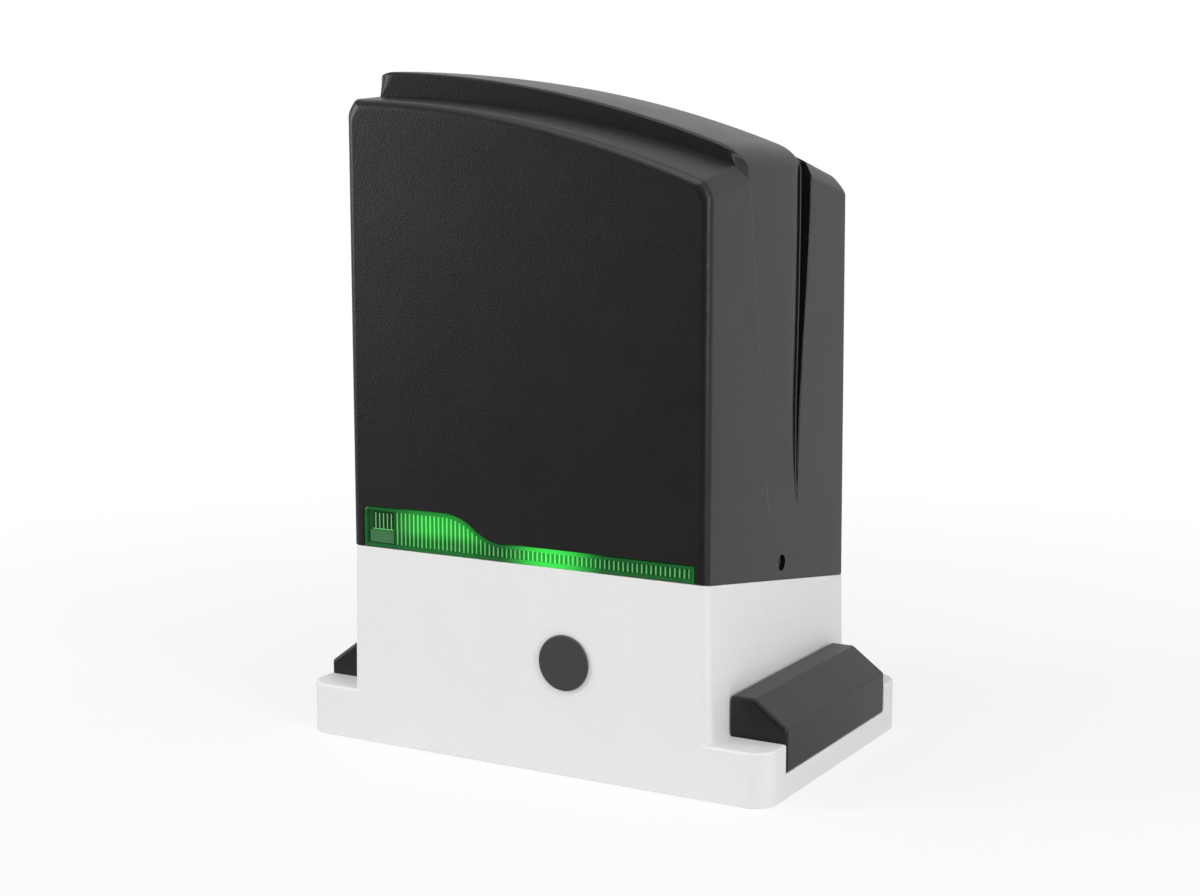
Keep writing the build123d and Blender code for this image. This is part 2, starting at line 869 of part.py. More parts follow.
with BuildPart() as cover_shell:
    add(outside)
    split(bisect_by=rear_lean, keep=Keep.BOTTOM)
    upright_edges = cover_shell.edges().filter_by(Axis.Z)
    corner_edges = upright_edges.filter_by(lambda e: e.center().Y < front_y + seat_gap)
    fillet(corner_edges, cover_corner)
    add(inside, mode=Mode.SUBTRACT)
    # Bosses behind the screw recesses
    for side in (-1, 1):
        start = side * (half_body - cover_wall - screw_boss_depth)
        end = side * (half_body - cover_wall / 2)
        crosswise(0, screw_height, min(start, end), max(start, end), screw_boss_radius)
        mouth = side * (half_body - screw_recess_depth)
        far = side * (half_body + cut_past)
        crosswise(0, screw_height, min(mouth, far), max(mouth, far), screw_recess_radius, mode=Mode.SUBTRACT)
        crosswise(
            0, screw_height, min(start, far), max(start, far), screw_shank_radius + slip_gap / 2,
            mode=Mode.SUBTRACT,
        )
    # Window of the lens
    extrude(lens_outline(lens_gap), amount=-2 * cover_wall, mode=Mode.SUBTRACT)
    # Notch for the limit switch in the rear face
    block(
        shaft_x - limit_width / 2 - slip_gap, shaft_x + limit_width / 2 + slip_gap,
        rear_y - 2 * cover_wall, rear_y + cut_past, cover_floor, limit_top + slip_gap, mode=Mode.SUBTRACT,
    )
    split(bisect_by=cover_bottom_plane, keep=Keep.TOP)

# Signal lens with its flange behind the cover's wall, and the lamp strip

lens_back = front_y + cover_wall + slip_gap
lens_inner = lens_back + lens_flange
lamp_face = lens_inner + lamp_gap
with BuildPart() as signal_lens:
    extrude(lens_outline(0), amount=front_y - lens_back)
    flange = lens_outline(lens_overlap).moved(Location((0, lens_back - front_y, 0)))
    extrude(flange, amount=-lens_flange)
    split(bisect_by=cover_bottom_plane, keep=Keep.TOP)
    for post_x in (lens_left + lens_post_inset, 0, lens_right - lens_post_inset):
        lengthwise(post_x, parting_front + lens_post_height, lens_inner, lamp_face, lens_post_radius)

with BuildPart() as led_board:
    lamp_z = parting_front + lens_post_height
    block(
        lens_left + lamp_board_inset, lens_right - lamp_board_inset, lamp_face,
        lamp_face + lamp_board_thickness,
        parting_front + lamp_board_edge, lens_strip_top - lamp_board_edge,
    )
    lamp_pitch = (lens_right - lens_left - 2 * lamp_end_inset) / (lamp_count - 1)
    for lamp in range(lamp_count):
        lamp_x = lens_left + lamp_end_inset + lamp * lamp_pitch
        block(
            lamp_x - lamp_size / 2, lamp_x + lamp_size / 2, lamp_face - lamp_thickness, lamp_face,
            lamp_z - lamp_size / 2, lamp_z + lamp_size / 2,
        )

# Cover screws and their clips


def cross_slot(y, z, x, depth):
    """Cross-shaped drive slot in a screw head that faces along X."""
    for wide, tall in ((screw_slot_reach, screw_slot_width), (screw_slot_width, screw_slot_reach)):
        block(
            min(x, x + depth), max(x, x + depth), y - wide / 2, y + wide / 2, z - tall / 2, z + tall / 2,
            mode=Mode.SUBTRACT,
        )


screw_seat = half_body - screw_recess_depth
clip_face = ear_face - ear_thickness - slip_gap
with BuildPart() as cover_screws:
    for side in (-1, 1):
        head_end = side * (screw_seat + screw_head_height)
        slot_floor = side * (screw_seat + screw_head_height - screw_slot_depth)
        tip = side * (clip_face - screw_clip_depth - screw_point)
        seat = side * screw_seat
        crosswise(0, screw_height, min(seat, head_end), max(seat, head_end), screw_head_radius)
        crosswise(0, screw_height, min(tip, seat), max(tip, seat), screw_shank_radius)
        cross_slot(0, screw_height, slot_floor, side * (screw_slot_depth + seat_gap))

with BuildPart() as screw_clips:
    for side in (-1, 1):
        near = side * clip_face
        far = side * (clip_face - screw_clip_depth)
        half = screw_clip_size / 2
        block(min(near, far), max(near, far), -half, half, screw_height - half, screw_height + half)
        crosswise(
            0, screw_height, min(near, far) - cut_past, max(near, far) + cut_past,
            screw_shank_radius + seat_gap,
            mode=Mode.SUBTRACT,
        )

# Bolt covers


def hood_profile(inset):
    """Outline of a bolt cover seen from the front, for the right-hand side."""
    inner = half_body + body_flare + slip_gap + inset
    outer = foot_width / 2 - inset
    top = hood_top - inset
    with BuildSketch(Plane.XZ.offset(pocket_length / 2 - slip_gap - inset)) as outline:
        with BuildLine():
            Polyline(
                (inner, pocket_floor + slip_gap), (inner, top), (inner + hood_flat - inset / 2, top),
                (outer, hood_shoulder - inset / 2), (outer, pocket_floor + slip_gap), close=True,
            )
        make_face()
    return outline.sketch


hood_length = pocket_length - 2 * slip_gap
with BuildPart() as bolt_cover_right:
    extrude(hood_profile(0), amount=-hood_length)
    outer_edges = bolt_cover_right.edges().filter_by(lambda e: e.center().Z > pocket_floor + hood_round)
    fillet(outer_edges.filter_by(lambda e: e.center().X > pocket_inner + hood_round), hood_round)
    add(extrude(hood_profile(hood_wall), amount=-(hood_length - 2 * hood_wall)), mode=Mode.SUBTRACT)
with BuildPart() as bolt_cover_left:
    add(bolt_cover_right.part.mirror(Plane.YZ))

# Hand release

with BuildPart() as release_cap:
    lengthwise(shaft_x, shaft_z, front_y - cap_proud, front_y - seat_gap, cap_radius)
    fillet(release_cap.edges().sort_by(Axis.Y)[0], cap_round)
    lengthwise(
        shaft_x, shaft_z, front_y - seat_gap, front_y + cap_plug_depth, cap_plug_radius,
        cap_plug_radius - cap_plug_wall,
    )

with BuildPart() as release_spindle:
    flange_end = spindle_shoulder + spindle_flange_width
    lengthwise(shaft_x, shaft_z, socket_mouth, spindle_shoulder, spindle_radius)
    lengthwise(shaft_x, shaft_z, spindle_shoulder, flange_end, spindle_flange_radius)
    lengthwise(shaft_x, shaft_z, flange_end, fork_hub_end + spindle_end, spindle_screw_radius)
    with BuildSketch(Plane.XZ.offset(-socket_mouth)):
        with Locations((shaft_x, shaft_z)):
            RegularPolygon(spindle_socket_radius, spindle_socket_sides)
    extrude(amount=-spindle_socket_depth, mode=Mode.SUBTRACT)

groove_start = clutch_front + clutch_groove_start
groove_end = groove_start + clutch_groove_width
with BuildPart() as shift_fork:
    plate_end = fork_hub_start + fork_plate
    lengthwise(shaft_x, shaft_z, fork_hub_start, fork_hub_end, fork_hub_radius)
    with BuildSketch(Plane.XZ.offset(-fork_hub_start)):
        with Locations((shaft_x, shaft_z)):
            Rectangle(fork_plate_width, fork_plate_height)
    extrude(amount=-fork_plate)
    arm_low = shaft_z - fork_arm_height / 2
    arm_high = shaft_z + fork_arm_height / 2
    for side in (-1, 1):
        arm_inner = shaft_x + side * (clutch_radius + fork_arm_gap)
        arm_outer = shaft_x + side * (clutch_radius + fork_arm_gap + fork_arm_thickness)
        pad = shaft_x + side * (clutch_groove_radius + slip_gap)
        block(
            min(arm_inner, arm_outer), max(arm_inner, arm_outer), plate_end - seat_gap,
            groove_end - slip_gap,
            arm_low, arm_high,
        )
        block(
            min(pad, arm_outer), max(pad, arm_outer), groove_start + slip_gap, groove_end - slip_gap,
            arm_low, arm_high,
        )
        lengthwise(
            shaft_x, shaft_z + side * guide_pin_offset, fork_hub_start - cut_past, fork_hub_end + cut_past,
            guide_pin_radius + guide_pin_gap, mode=Mode.SUBTRACT,
        )
    lengthwise(
        shaft_x, shaft_z, fork_hub_start - cut_past, fork_hub_end + cut_past,
        spindle_screw_radius + slip_gap,
        mode=Mode.SUBTRACT,
    )

with BuildPart() as shift_guide_pins:
    for side in (-1, 1):
        lengthwise(
            shaft_x, shaft_z + side * guide_pin_offset, chamber_front - base_wall, plate_end + guide_pin_end,
            guide_pin_radius,
        )


def dogs(y0, y1, width, inner, outer, mode):
    """Square dogs or their slots, evenly around the output axis."""
    with BuildSketch(Plane.XZ.offset(-y0)) as pattern:
        with Locations((shaft_x, shaft_z)):
            with PolarLocations((inner + outer) / 2, dog_count):
                Rectangle(outer - inner, width)
    extrude(pattern.sketch, amount=y0 - y1, mode=mode)


dog_inner = shaft_radius + dog_inner_step
dog_outer = clutch_radius - dog_outer_step
dog_end = clutch_end + dog_depth
with BuildPart() as dog_clutch:
    lengthwise(shaft_x, shaft_z, clutch_front, clutch_end, clutch_radius)
    dogs(clutch_end - seat_gap, dog_end, dog_width, dog_inner, dog_outer, Mode.ADD)
    lengthwise(
        shaft_x, shaft_z, groove_start, groove_end, clutch_radius + cut_past, clutch_groove_radius,
        mode=Mode.SUBTRACT,
    )
    lengthwise(
        shaft_x, shaft_z, clutch_front - cut_past, dog_end + cut_past, shaft_radius + running_gap,
        mode=Mode.SUBTRACT,
    )

# Output shaft with its pinion

key_front = pinion_front + key_start
key_floor = shaft_z + shaft_radius - key_height / 2
key_top = shaft_z + shaft_radius + key_height / 2
with BuildPart() as output_shaft:
    lengthwise(shaft_x, shaft_z, clutch_front - shaft_front_reach, pinion_rear, shaft_radius)
    lengthwise(
        shaft_x, shaft_z, hub_rear + slip_gap, front_bearing_y - slip_gap, shaft_collar_radius
    )
    lengthwise(shaft_x, shaft_z, rear_y + collar_gap, pinion_front - seat_gap, shaft_collar_radius)
    block(
        shaft_x - key_width / 2 - seat_gap, shaft_x + key_width / 2 + seat_gap, key_front,
        pinion_rear + cut_past,
        key_floor, shaft_z + shaft_radius + cut_past, mode=Mode.SUBTRACT,
    )
    lengthwise(
        shaft_x, shaft_z, pinion_rear - pinion_bolt_hole, pinion_rear + cut_past, pinion_bolt_radius,
        mode=Mode.SUBTRACT,
    )

with BuildPart() as shaft_key:
    block(
        shaft_x - key_width / 2, shaft_x + key_width / 2, key_front + seat_gap, pinion_rear - seat_gap,
        key_floor + seat_gap, key_top,
    )

with BuildPart() as drive_pinion:
    with BuildSketch(Plane.XZ.offset(-pinion_front)):
        with Locations((shaft_x, shaft_z)):
            toothed_disc(pinion_module, pinion_teeth, tooth_slack)
    extrude(amount=-pinion_width)
    lengthwise(
        shaft_x, shaft_z, pinion_front - cut_past, pinion_rear + cut_past, shaft_radius + seat_gap,
        mode=Mode.SUBTRACT,
    )
    block(
        shaft_x - key_width / 2 - seat_gap, shaft_x + key_width / 2 + seat_gap,
        pinion_front - cut_past, pinion_rear + cut_past, shaft_z, key_top + seat_gap, mode=Mode.SUBTRACT,
    )

with BuildPart() as pinion_bolt:
    washer_rear = pinion_rear + pinion_washer_thickness
    lengthwise(
        shaft_x, shaft_z, pinion_rear - pinion_bolt_length, pinion_rear + cut_past,
        pinion_bolt_radius - seat_gap
    )
    lengthwise(shaft_x, shaft_z, pinion_rear + seat_gap, washer_rear, pinion_washer_radius)
    with BuildSketch(Plane.XZ.offset(-washer_rear)):
        with Locations((shaft_x, shaft_z)):
            RegularPolygon(pinion_bolt_head, hexagon)
    extrude(amount=-pinion_bolt_head_height)

with BuildPart() as front_shaft_bearing:
    deep_groove_bearing_y(
        shaft_x, shaft_z, front_bearing_y, web_rear, bearing_outer_radius, shaft_radius + running_gap
    )

with BuildPart() as rear_shaft_bearing:
    deep_groove_bearing_y(
        shaft_x, shaft_z, rear_bearing_y, rear_bearing_end, bearing_outer_radius, shaft_radius + running_gap
    )

with BuildPart() as shaft_seal:
    lengthwise(shaft_x, shaft_z, rear_y - seal_width, rear_y, seal_radius, shaft_radius + running_gap)

# Worm wheel, twisted to the worm's lead angle

twist = degrees(wheel_width * tan(worm_lead_angle) / wheel_pitch_radius)
with BuildSketch() as wheel_outline:
    toothed_disc(worm_module, wheel_teeth, tooth_slack)
wheel_start = Plane.XZ.offset(-wheel_front) * Pos(shaft_x, shaft_z) * Rot(0, 0, twist / 2)
wheel_face = wheel_start * wheel_outline.sketch
wheel_rim = Solid.extrude_linear_with_rotation(
    wheel_face.face(), (shaft_x, wheel_front, shaft_z), (0, wheel_width, 0), twist
)
with BuildPart() as worm_wheel:
    add(wheel_rim)
    lengthwise(shaft_x, shaft_z, hub_front, hub_rear, wheel_hub_radius)
    dogs(
        hub_front - cut_past, dog_end + slip_gap, dog_width + 2 * slip_gap, dog_inner - slip_gap,
        dog_outer + slip_gap, Mode.SUBTRACT,
    )
    lengthwise(
        shaft_x, shaft_z, hub_front - cut_past, hub_rear + cut_past, shaft_radius + running_gap,
        mode=Mode.SUBTRACT,
    )

# Motor rotor: shaft, worm, armature, commutator and encoder disc

thread_length = worm_turns * worm_lead
worm_start = shaft_z - thread_length / 2
worm_root = worm_pitch_radius - worm_root_share * worm_module
worm_tip = worm_pitch_radius + worm_module - tooth_slack
shaft_bottom = bearing_seat_z + slip_gap
with BuildPart() as motor_shaft:
    upright(motor_x, motor_y, shaft_bottom, bell_top + motor_shaft_reach, motor_shaft_radius)

with BuildPart() as worm:
    upright(
        motor_x, motor_y, worm_start - worm_end, worm_start + thread_length + worm_end, worm_root,
        motor_shaft_radius + seat_gap,
    )
    with BuildLine() as thread_path:
        Helix(
            pitch=worm_lead, height=thread_length, radius=worm_pitch_radius,
            center=(motor_x, motor_y, worm_start),
        )
    half_thick = pi * worm_module / 4 - tooth_slack
    flank = tan(radians(pressure_angle)) * worm_module
    with BuildSketch(Plane(origin=thread_path.line @ 0, x_dir=(1, 0, 0), z_dir=thread_path.line % 0)):
        root_step = worm_root - worm_pitch_radius - thread_sink
        tip_step = worm_tip - worm_pitch_radius
        Polygon(
            (root_step, -half_thick - flank), (tip_step, -half_thick + flank),
            (tip_step, half_thick - flank), (root_step, half_thick + flank), align=None,
        )
    sweep(is_frenet=True)

armature_bottom = flange_top + armature_start
armature_top = armature_bottom + armature_length
commutator_bottom = armature_top + commutator_gap
commutator_top = commutator_bottom + commutator_length
with BuildPart() as armature:
    with BuildSketch(Plane.XY.offset(armature_bottom)):
        with Locations((motor_x, motor_y)):
            Circle(armature_radius)
            Circle(motor_shaft_radius + seat_gap, mode=Mode.SUBTRACT)
            with PolarLocations(armature_radius - armature_slot_inset, armature_slots):
                Rectangle(armature_slot_depth, armature_slot_width, mode=Mode.SUBTRACT)
    extrude(amount=armature_length)

with BuildPart() as commutator:
    upright(
        motor_x, motor_y, commutator_bottom, commutator_top, commutator_radius, motor_shaft_radius + seat_gap
    )

disc_low = bell_top + encoder_height
disc_high = disc_low + encoder_thickness
with BuildPart() as encoder_disc:
    upright(motor_x, motor_y, disc_low, disc_high, encoder_radius, motor_shaft_radius + seat_gap)
    with BuildSketch(Plane.XY.offset(disc_low)):
        with Locations((motor_x, motor_y)):
            with PolarLocations(encoder_radius - encoder_slot_inset, encoder_slots):
                Rectangle(encoder_slot_length, encoder_slot_width)
    extrude(amount=encoder_thickness, mode=Mode.SUBTRACT)

with BuildPart() as lower_worm_bearing:
    deep_groove_bearing_z(
        motor_x, motor_y, bearing_seat_z, bearing_seat_z + worm_bearing_width, worm_bearing_radius,
        motor_shaft_radius + running_gap,
    )

with BuildPart() as upper_worm_bearing:
    deep_groove_bearing_z(
        motor_x, motor_y, lid_bottom, lid_bottom + worm_bearing_width, worm_bearing_radius,
        motor_shaft_radius + running_gap,
    )

# Lid of the gear chamber

motor_screw_places = [
    (motor_x + x, motor_y + y)
    for x in (-motor_screw_offset, motor_screw_offset) for y in (-motor_screw_offset, motor_screw_offset)
]
with BuildPart() as gearbox_gasket:
    block(
        chamber_left - base_wall, chamber_right + base_wall, lid_front + slip_gap, web_rear,
        chamber_top, lid_bottom
    )
    for place in lid_screw_places:
        upright(*place, chamber_top, lid_bottom, lid_screw_boss)
    block(chamber_left, chamber_right, chamber_front, web_front, chamber_top, lid_bottom, mode=Mode.SUBTRACT)
    for place in lid_screw_places:
        upright(*place, chamber_top, lid_bottom, lid_screw_radius + slip_gap / 2, mode=Mode.SUBTRACT)

with BuildPart() as gearbox_lid:
    block(lid_left, lid_right, lid_front + slip_gap, lid_rear, lid_bottom, lid_top)
    upright(
        motor_x, motor_y, lid_bottom - cut_past, lid_top + cut_past, motor_shaft_radius + lid_shaft_room,
        mode=Mode.SUBTRACT,
    )
    for place in lid_screw_places:
        upright(
            *place, lid_bottom - cut_past, lid_top + cut_past, lid_screw_radius + slip_gap / 2,
            mode=Mode.SUBTRACT
        )
        upright(
            *place, lid_top - lid_screw_head_height, lid_top + cut_past, lid_screw_head + slip_gap,
            mode=Mode.SUBTRACT,
        )
    upright(
        motor_x, motor_y, lid_bottom - cut_past, lid_bottom + worm_bearing_width,
        worm_bearing_radius + seat_gap,
        mode=Mode.SUBTRACT,
    )
    for place in motor_screw_places:
        upright(
            *place, lid_top - motor_screw_depth, lid_top + cut_past, motor_screw_radius + seat_gap,
            mode=Mode.SUBTRACT,
        )

with BuildPart() as lid_screws:
    for place in lid_screw_places:
        screw_end = chamber_top - lid_screw_depth + lid_screw_end_gap
        upright(*place, screw_end, lid_top - lid_screw_head_height + seat_gap, lid_screw_radius)
        upright(*place, lid_top - lid_screw_head_height, lid_top - slip_gap, lid_screw_head)

# Motor frame

with BuildPart() as motor_flange:
    with BuildSketch(Plane.XY.offset(lid_top)):
        with Locations((motor_x, motor_y)):
            RectangleRounded(motor_flange_size, motor_flange_size, motor_flange_corner)
            Circle(motor_shaft_radius + motor_flange_room, mode=Mode.SUBTRACT)
            with GridLocations(2 * motor_screw_offset, 2 * motor_screw_offset, 2, 2):
                Circle(motor_screw_radius + slip_gap / 2, mode=Mode.SUBTRACT)
    extrude(amount=motor_flange_thickness)

with BuildPart() as motor_screws:
    for place in motor_screw_places:
        upright(*place, lid_top - motor_screw_depth + cut_past, flange_top + cut_past, motor_screw_radius)
        upright(*place, flange_top, flange_top + motor_screw_head_height, motor_screw_head)

with BuildPart() as motor_can:
    upright(motor_x, motor_y, flange_top, can_top, motor_radius, motor_radius - motor_wall)

with BuildPart() as motor_magnets:
    magnet_outer = motor_radius - motor_wall - seat_gap
    with BuildSketch(Plane.XY.offset(armature_bottom - magnet_past_armature)):
        with Locations((motor_x, motor_y)):
            Circle(magnet_outer)
            Circle(magnet_outer - magnet_thickness, mode=Mode.SUBTRACT)
            Rectangle(2 * motor_radius, magnet_parting, mode=Mode.SUBTRACT)
    extrude(amount=armature_length + 2 * magnet_past_armature)

with BuildPart() as motor_end_bell:
    upright(motor_x, motor_y, can_top, bell_top, motor_radius)
    fillet(motor_end_bell.edges().sort_by(Axis.Z)[-1], end_bell_round)
    upright(
        motor_x, motor_y, can_top - cut_past, bell_top - end_bell_roof, motor_radius - end_bell_wall,
        mode=Mode.SUBTRACT,
    )
    upright(
        motor_x, motor_y, can_top - cut_past, bell_top + cut_past, motor_shaft_radius + running_gap,
        mode=Mode.SUBTRACT,
    )

with BuildPart() as motor_brushes:
    for side in (-1, 1):
        near = motor_x + side * (commutator_radius + slip_gap)
        far = motor_x + side * (motor_radius - motor_wall - slip_gap)
        block(
            min(near, far), max(near, far), motor_y - brush_width / 2, motor_y + brush_width / 2,
            commutator_bottom + brush_edge, commutator_top - brush_edge,
        )

with BuildPart() as encoder_sensor:
    arm_x = motor_x + encoder_radius - sensor_overlap
    post_x = motor_x + encoder_radius + sensor_post_gap
    sensor_front = motor_y - sensor_width / 2
    sensor_rear = motor_y + sensor_width / 2
    sensor_top = bell_top + sensor_height
    block(post_x, post_x + sensor_post, sensor_front, sensor_rear, bell_top, sensor_top)
    block(arm_x, post_x + seat_gap, sensor_front, sensor_rear, disc_high + sensor_gap, sensor_top)
    block(arm_x, post_x + seat_gap, sensor_front, sensor_rear, bell_top, disc_low - sensor_gap)

# Transformer

bracket_top = lid_top + bracket_leg
with BuildPart() as transformer_bracket:
    bracket_left = transformer_x - transformer_radius
    bracket_right = transformer_x + transformer_radius
    bracket_front = transformer_y - bracket_half_depth
    bracket_rear = transformer_y + bracket_half_depth
    block(
        bracket_left, bracket_right, bracket_front, bracket_rear, bracket_top - bracket_thickness,
        bracket_top,
    )
    for leg_y in (bracket_front, bracket_rear - bracket_thickness):
        block(
            bracket_left, lid_right, leg_y, leg_y + bracket_thickness, lid_top,
            bracket_top - bracket_thickness
        )
    upright(
        transformer_x, transformer_y, lid_top, bracket_top + cut_past, clamp_bolt_radius + seat_gap,
        mode=Mode.SUBTRACT,
    )

transformer_top = bracket_top + transformer_height
with BuildPart() as toroidal_transformer:
    upright(transformer_x, transformer_y, bracket_top, transformer_top, transformer_radius, transformer_bore)
    outer_rings = toroidal_transformer.edges().filter_by(GeomType.CIRCLE).group_by(SortBy.RADIUS)[-1]
    fillet(outer_rings, transformer_round)

with BuildPart() as transformer_clamp:
    clamp_top = transformer_top + clamp_thickness
    upright(transformer_x, transformer_y, transformer_top, clamp_top, clamp_radius)
    upright(transformer_x, transformer_y, lid_top + clamp_bolt_end, clamp_top, clamp_bolt_radius)
    with BuildSketch(Plane.XY.offset(clamp_top)):
        with Locations((transformer_x, transformer_y)):
            RegularPolygon(clamp_nut_radius, hexagon)
    extrude(amount=clamp_nut_height)

# Control board on its carrier

carrier_front = carrier_face - carrier_thickness
board_back = carrier_front - standoff_length
board_front = board_back - board_thickness
board_left = carrier_left + board_margin
board_right = carrier_right - board_margin
board_bottom = lid_top + board_above_lid
board_top = carrier_top - board_margin
standoff_places = [
    (x, z)
    for x in (board_left + standoff_inset, board_right - standoff_inset)
    for z in (board_bottom + standoff_inset, board_top - standoff_inset)
]
with BuildPart() as board_carrier:
    block(carrier_left, carrier_right, carrier_front, carrier_face, lid_top, carrier_top)
    block(
        lid_left + carrier_foot_margin, carrier_right, lid_front + carrier_foot_margin, carrier_face,
        lid_top, lid_top + carrier_thickness,
    )
    for x, z in standoff_places:
        lengthwise(
            x, z, carrier_front - cut_past, carrier_face + cut_past, carrier_hole_radius, mode=Mode.SUBTRACT
        )

with BuildPart() as board_standoffs:
    for x, z in standoff_places:
        lengthwise(x, z, board_back, carrier_front, standoff_radius)
        lengthwise(x, z, board_front - standoff_head, board_front, standoff_radius)
        lengthwise(x, z, board_front - standoff_pin_sink, carrier_front, standoff_pin_radius)

with BuildPart() as control_board:
    block(board_left, board_right, board_front, board_back, board_bottom, board_top)
    for x, z in standoff_places:
        lengthwise(
            x, z, board_front - cut_past, board_back + cut_past, standoff_pin_radius + seat_gap,
            mode=Mode.SUBTRACT,
        )

with BuildPart() as terminal_blocks:
    terminal_width = (board_right - board_left) / terminal_count - terminal_trim
    for index in range(terminal_count):
        left = board_left + terminal_inset + index * (terminal_width + terminal_gap)
        block(
            left, left + terminal_width, board_front - terminal_depth, board_front,
            board_bottom + terminal_bottom, board_bottom + terminal_bottom + terminal_height,
        )

with BuildPart() as relays:
    for index in range(relay_count):
        left = board_left + relay_inset + index * (relay_width + relay_gap)
        block(
            left, left + relay_width, board_front - relay_depth, board_front,
            board_bottom + relay_bottom, board_bottom + relay_bottom + relay_height,
        )

with BuildPart() as capacitors:
    for index in range(capacitor_count):
        x = board_right - capacitor_inset - index * (2 * capacitor_radius + capacitor_gap)
        lengthwise(
            x, board_bottom + capacitor_height, board_front - capacitor_length, board_front, capacitor_radius
        )

with BuildPart() as display_window:
    display_left = board_left + display_inset
    display_top = board_top - display_drop
    block(
        display_left, display_left + display_width, board_front - display_depth, board_front,
        display_top - display_height, display_top,
    )

button_names = ("program_button_plus", "program_button_minus", "program_button_enter")
button_z = board_top - button_drop
button_xs = [board_left + button_inset + index * button_pitch for index in range(len(button_names))]
button_front = board_front - button_body_depth
button_seat = board_front - button_floor
with BuildPart() as button_housings:
    half = button_size / 2
    for x in button_xs:
        block(x - half, x + half, button_front, board_front, button_z - half, button_z + half)
        lengthwise(
            x, button_z, button_front - cut_past, button_seat, button_radius + slip_gap / 2,
            mode=Mode.SUBTRACT
        )

buttons = {}
for name, x in zip(button_names, button_xs):
    with BuildPart() as button:
        button_end = button_seat - button_travel - button_floor_gap
        lengthwise(x, button_z, button_front - button_reach, button_end, button_radius)
    buttons[name] = button

# Limit switch at the rear

limit_seat = shaft_z + bearing_outer_radius + base_wall
limit_left = shaft_x - limit_width / 2
limit_right = shaft_x + limit_width / 2
limit_rear = rear_y - slip_gap
hub_low = lever_height - lever_hub_height / 2
hub_high = lever_height + lever_hub_height / 2
neck_end = lever_pivot_y + lever_neck
with BuildPart() as limit_switch_housing:
    block(limit_left, limit_right, limit_front, limit_rear, limit_seat, limit_top)
    block(
        limit_left, limit_right, inner_rear_y - lip_wall + slip_gap, limit_rear, parting_rear + slip_gap,
        limit_seat + seat_gap,
    )
    block(
        limit_left + limit_wall, limit_right - limit_wall, limit_front + limit_wall, limit_rear - limit_wall,
        limit_seat + limit_wall, limit_top - limit_wall, mode=Mode.SUBTRACT,
    )
    slot_half_height = lever_spring_radius + limit_slot_room
    block(
        shaft_x - limit_slot_width / 2, shaft_x + limit_slot_width / 2, limit_rear - limit_wall - cut_past,
        limit_rear + cut_past, lever_height - slot_half_height, lever_height + slot_half_height,
        mode=Mode.SUBTRACT,
    )
    upright(
        shaft_x, lever_pivot_y, limit_seat + limit_wall - seat_gap, limit_top - limit_wall + seat_gap,
        limit_pin_radius,
    )

with BuildPart() as limit_lever:
    upright(shaft_x, lever_pivot_y, hub_low, hub_high, lever_hub_radius)
    block(
        shaft_x - lever_cam_width / 2, shaft_x + lever_cam_width / 2, lever_pivot_y - lever_cam_length,
        lever_pivot_y, hub_low, hub_high,
    )
    lengthwise(shaft_x, lever_height, lever_pivot_y, neck_end, lever_spring_radius)
    upright(
        shaft_x, lever_pivot_y, hub_low - cut_past, hub_high + cut_past, limit_pin_radius + running_gap,
        mode=Mode.SUBTRACT,
    )

with BuildPart() as limit_spring:
    lengthwise(
        shaft_x, lever_height, neck_end + seat_gap, lever_pivot_y + lever_length,
        lever_spring_radius - lever_spring_step,
    )
    fillet(limit_spring.edges().sort_by(Axis.Y)[-1], lever_spring_round)

with BuildPart() as limit_microswitches:
    for side in (-1, 1):
        outer = shaft_x + side * (limit_width / 2 - limit_wall - seat_gap)
        inner = outer - side * microswitch_width
        block(
            min(outer, inner), max(outer, inner), limit_front + limit_wall + seat_gap,
            lever_pivot_y + microswitch_past_pivot, lever_height - microswitch_below,
            lever_height + microswitch_above,
        )

# Grommet in the cable inlet

with BuildPart() as cable_grommet:
    grommet_top = base_floor + grommet_flange
    upright(inlet_x, inlet_y, grommet_bottom, grommet_top, inlet_radius - seat_gap, grommet_bore)
    upright(
        inlet_x, inlet_y, base_floor + seat_gap, grommet_top, inlet_radius + grommet_flange_width,
        grommet_bore
    )
    rims = cable_grommet.edges().filter_by(GeomType.CIRCLE).group_by(Axis.Z)[-1]
    fillet(rims.sort_by(SortBy.RADIUS)[-1], grommet_round)

# Write every piece

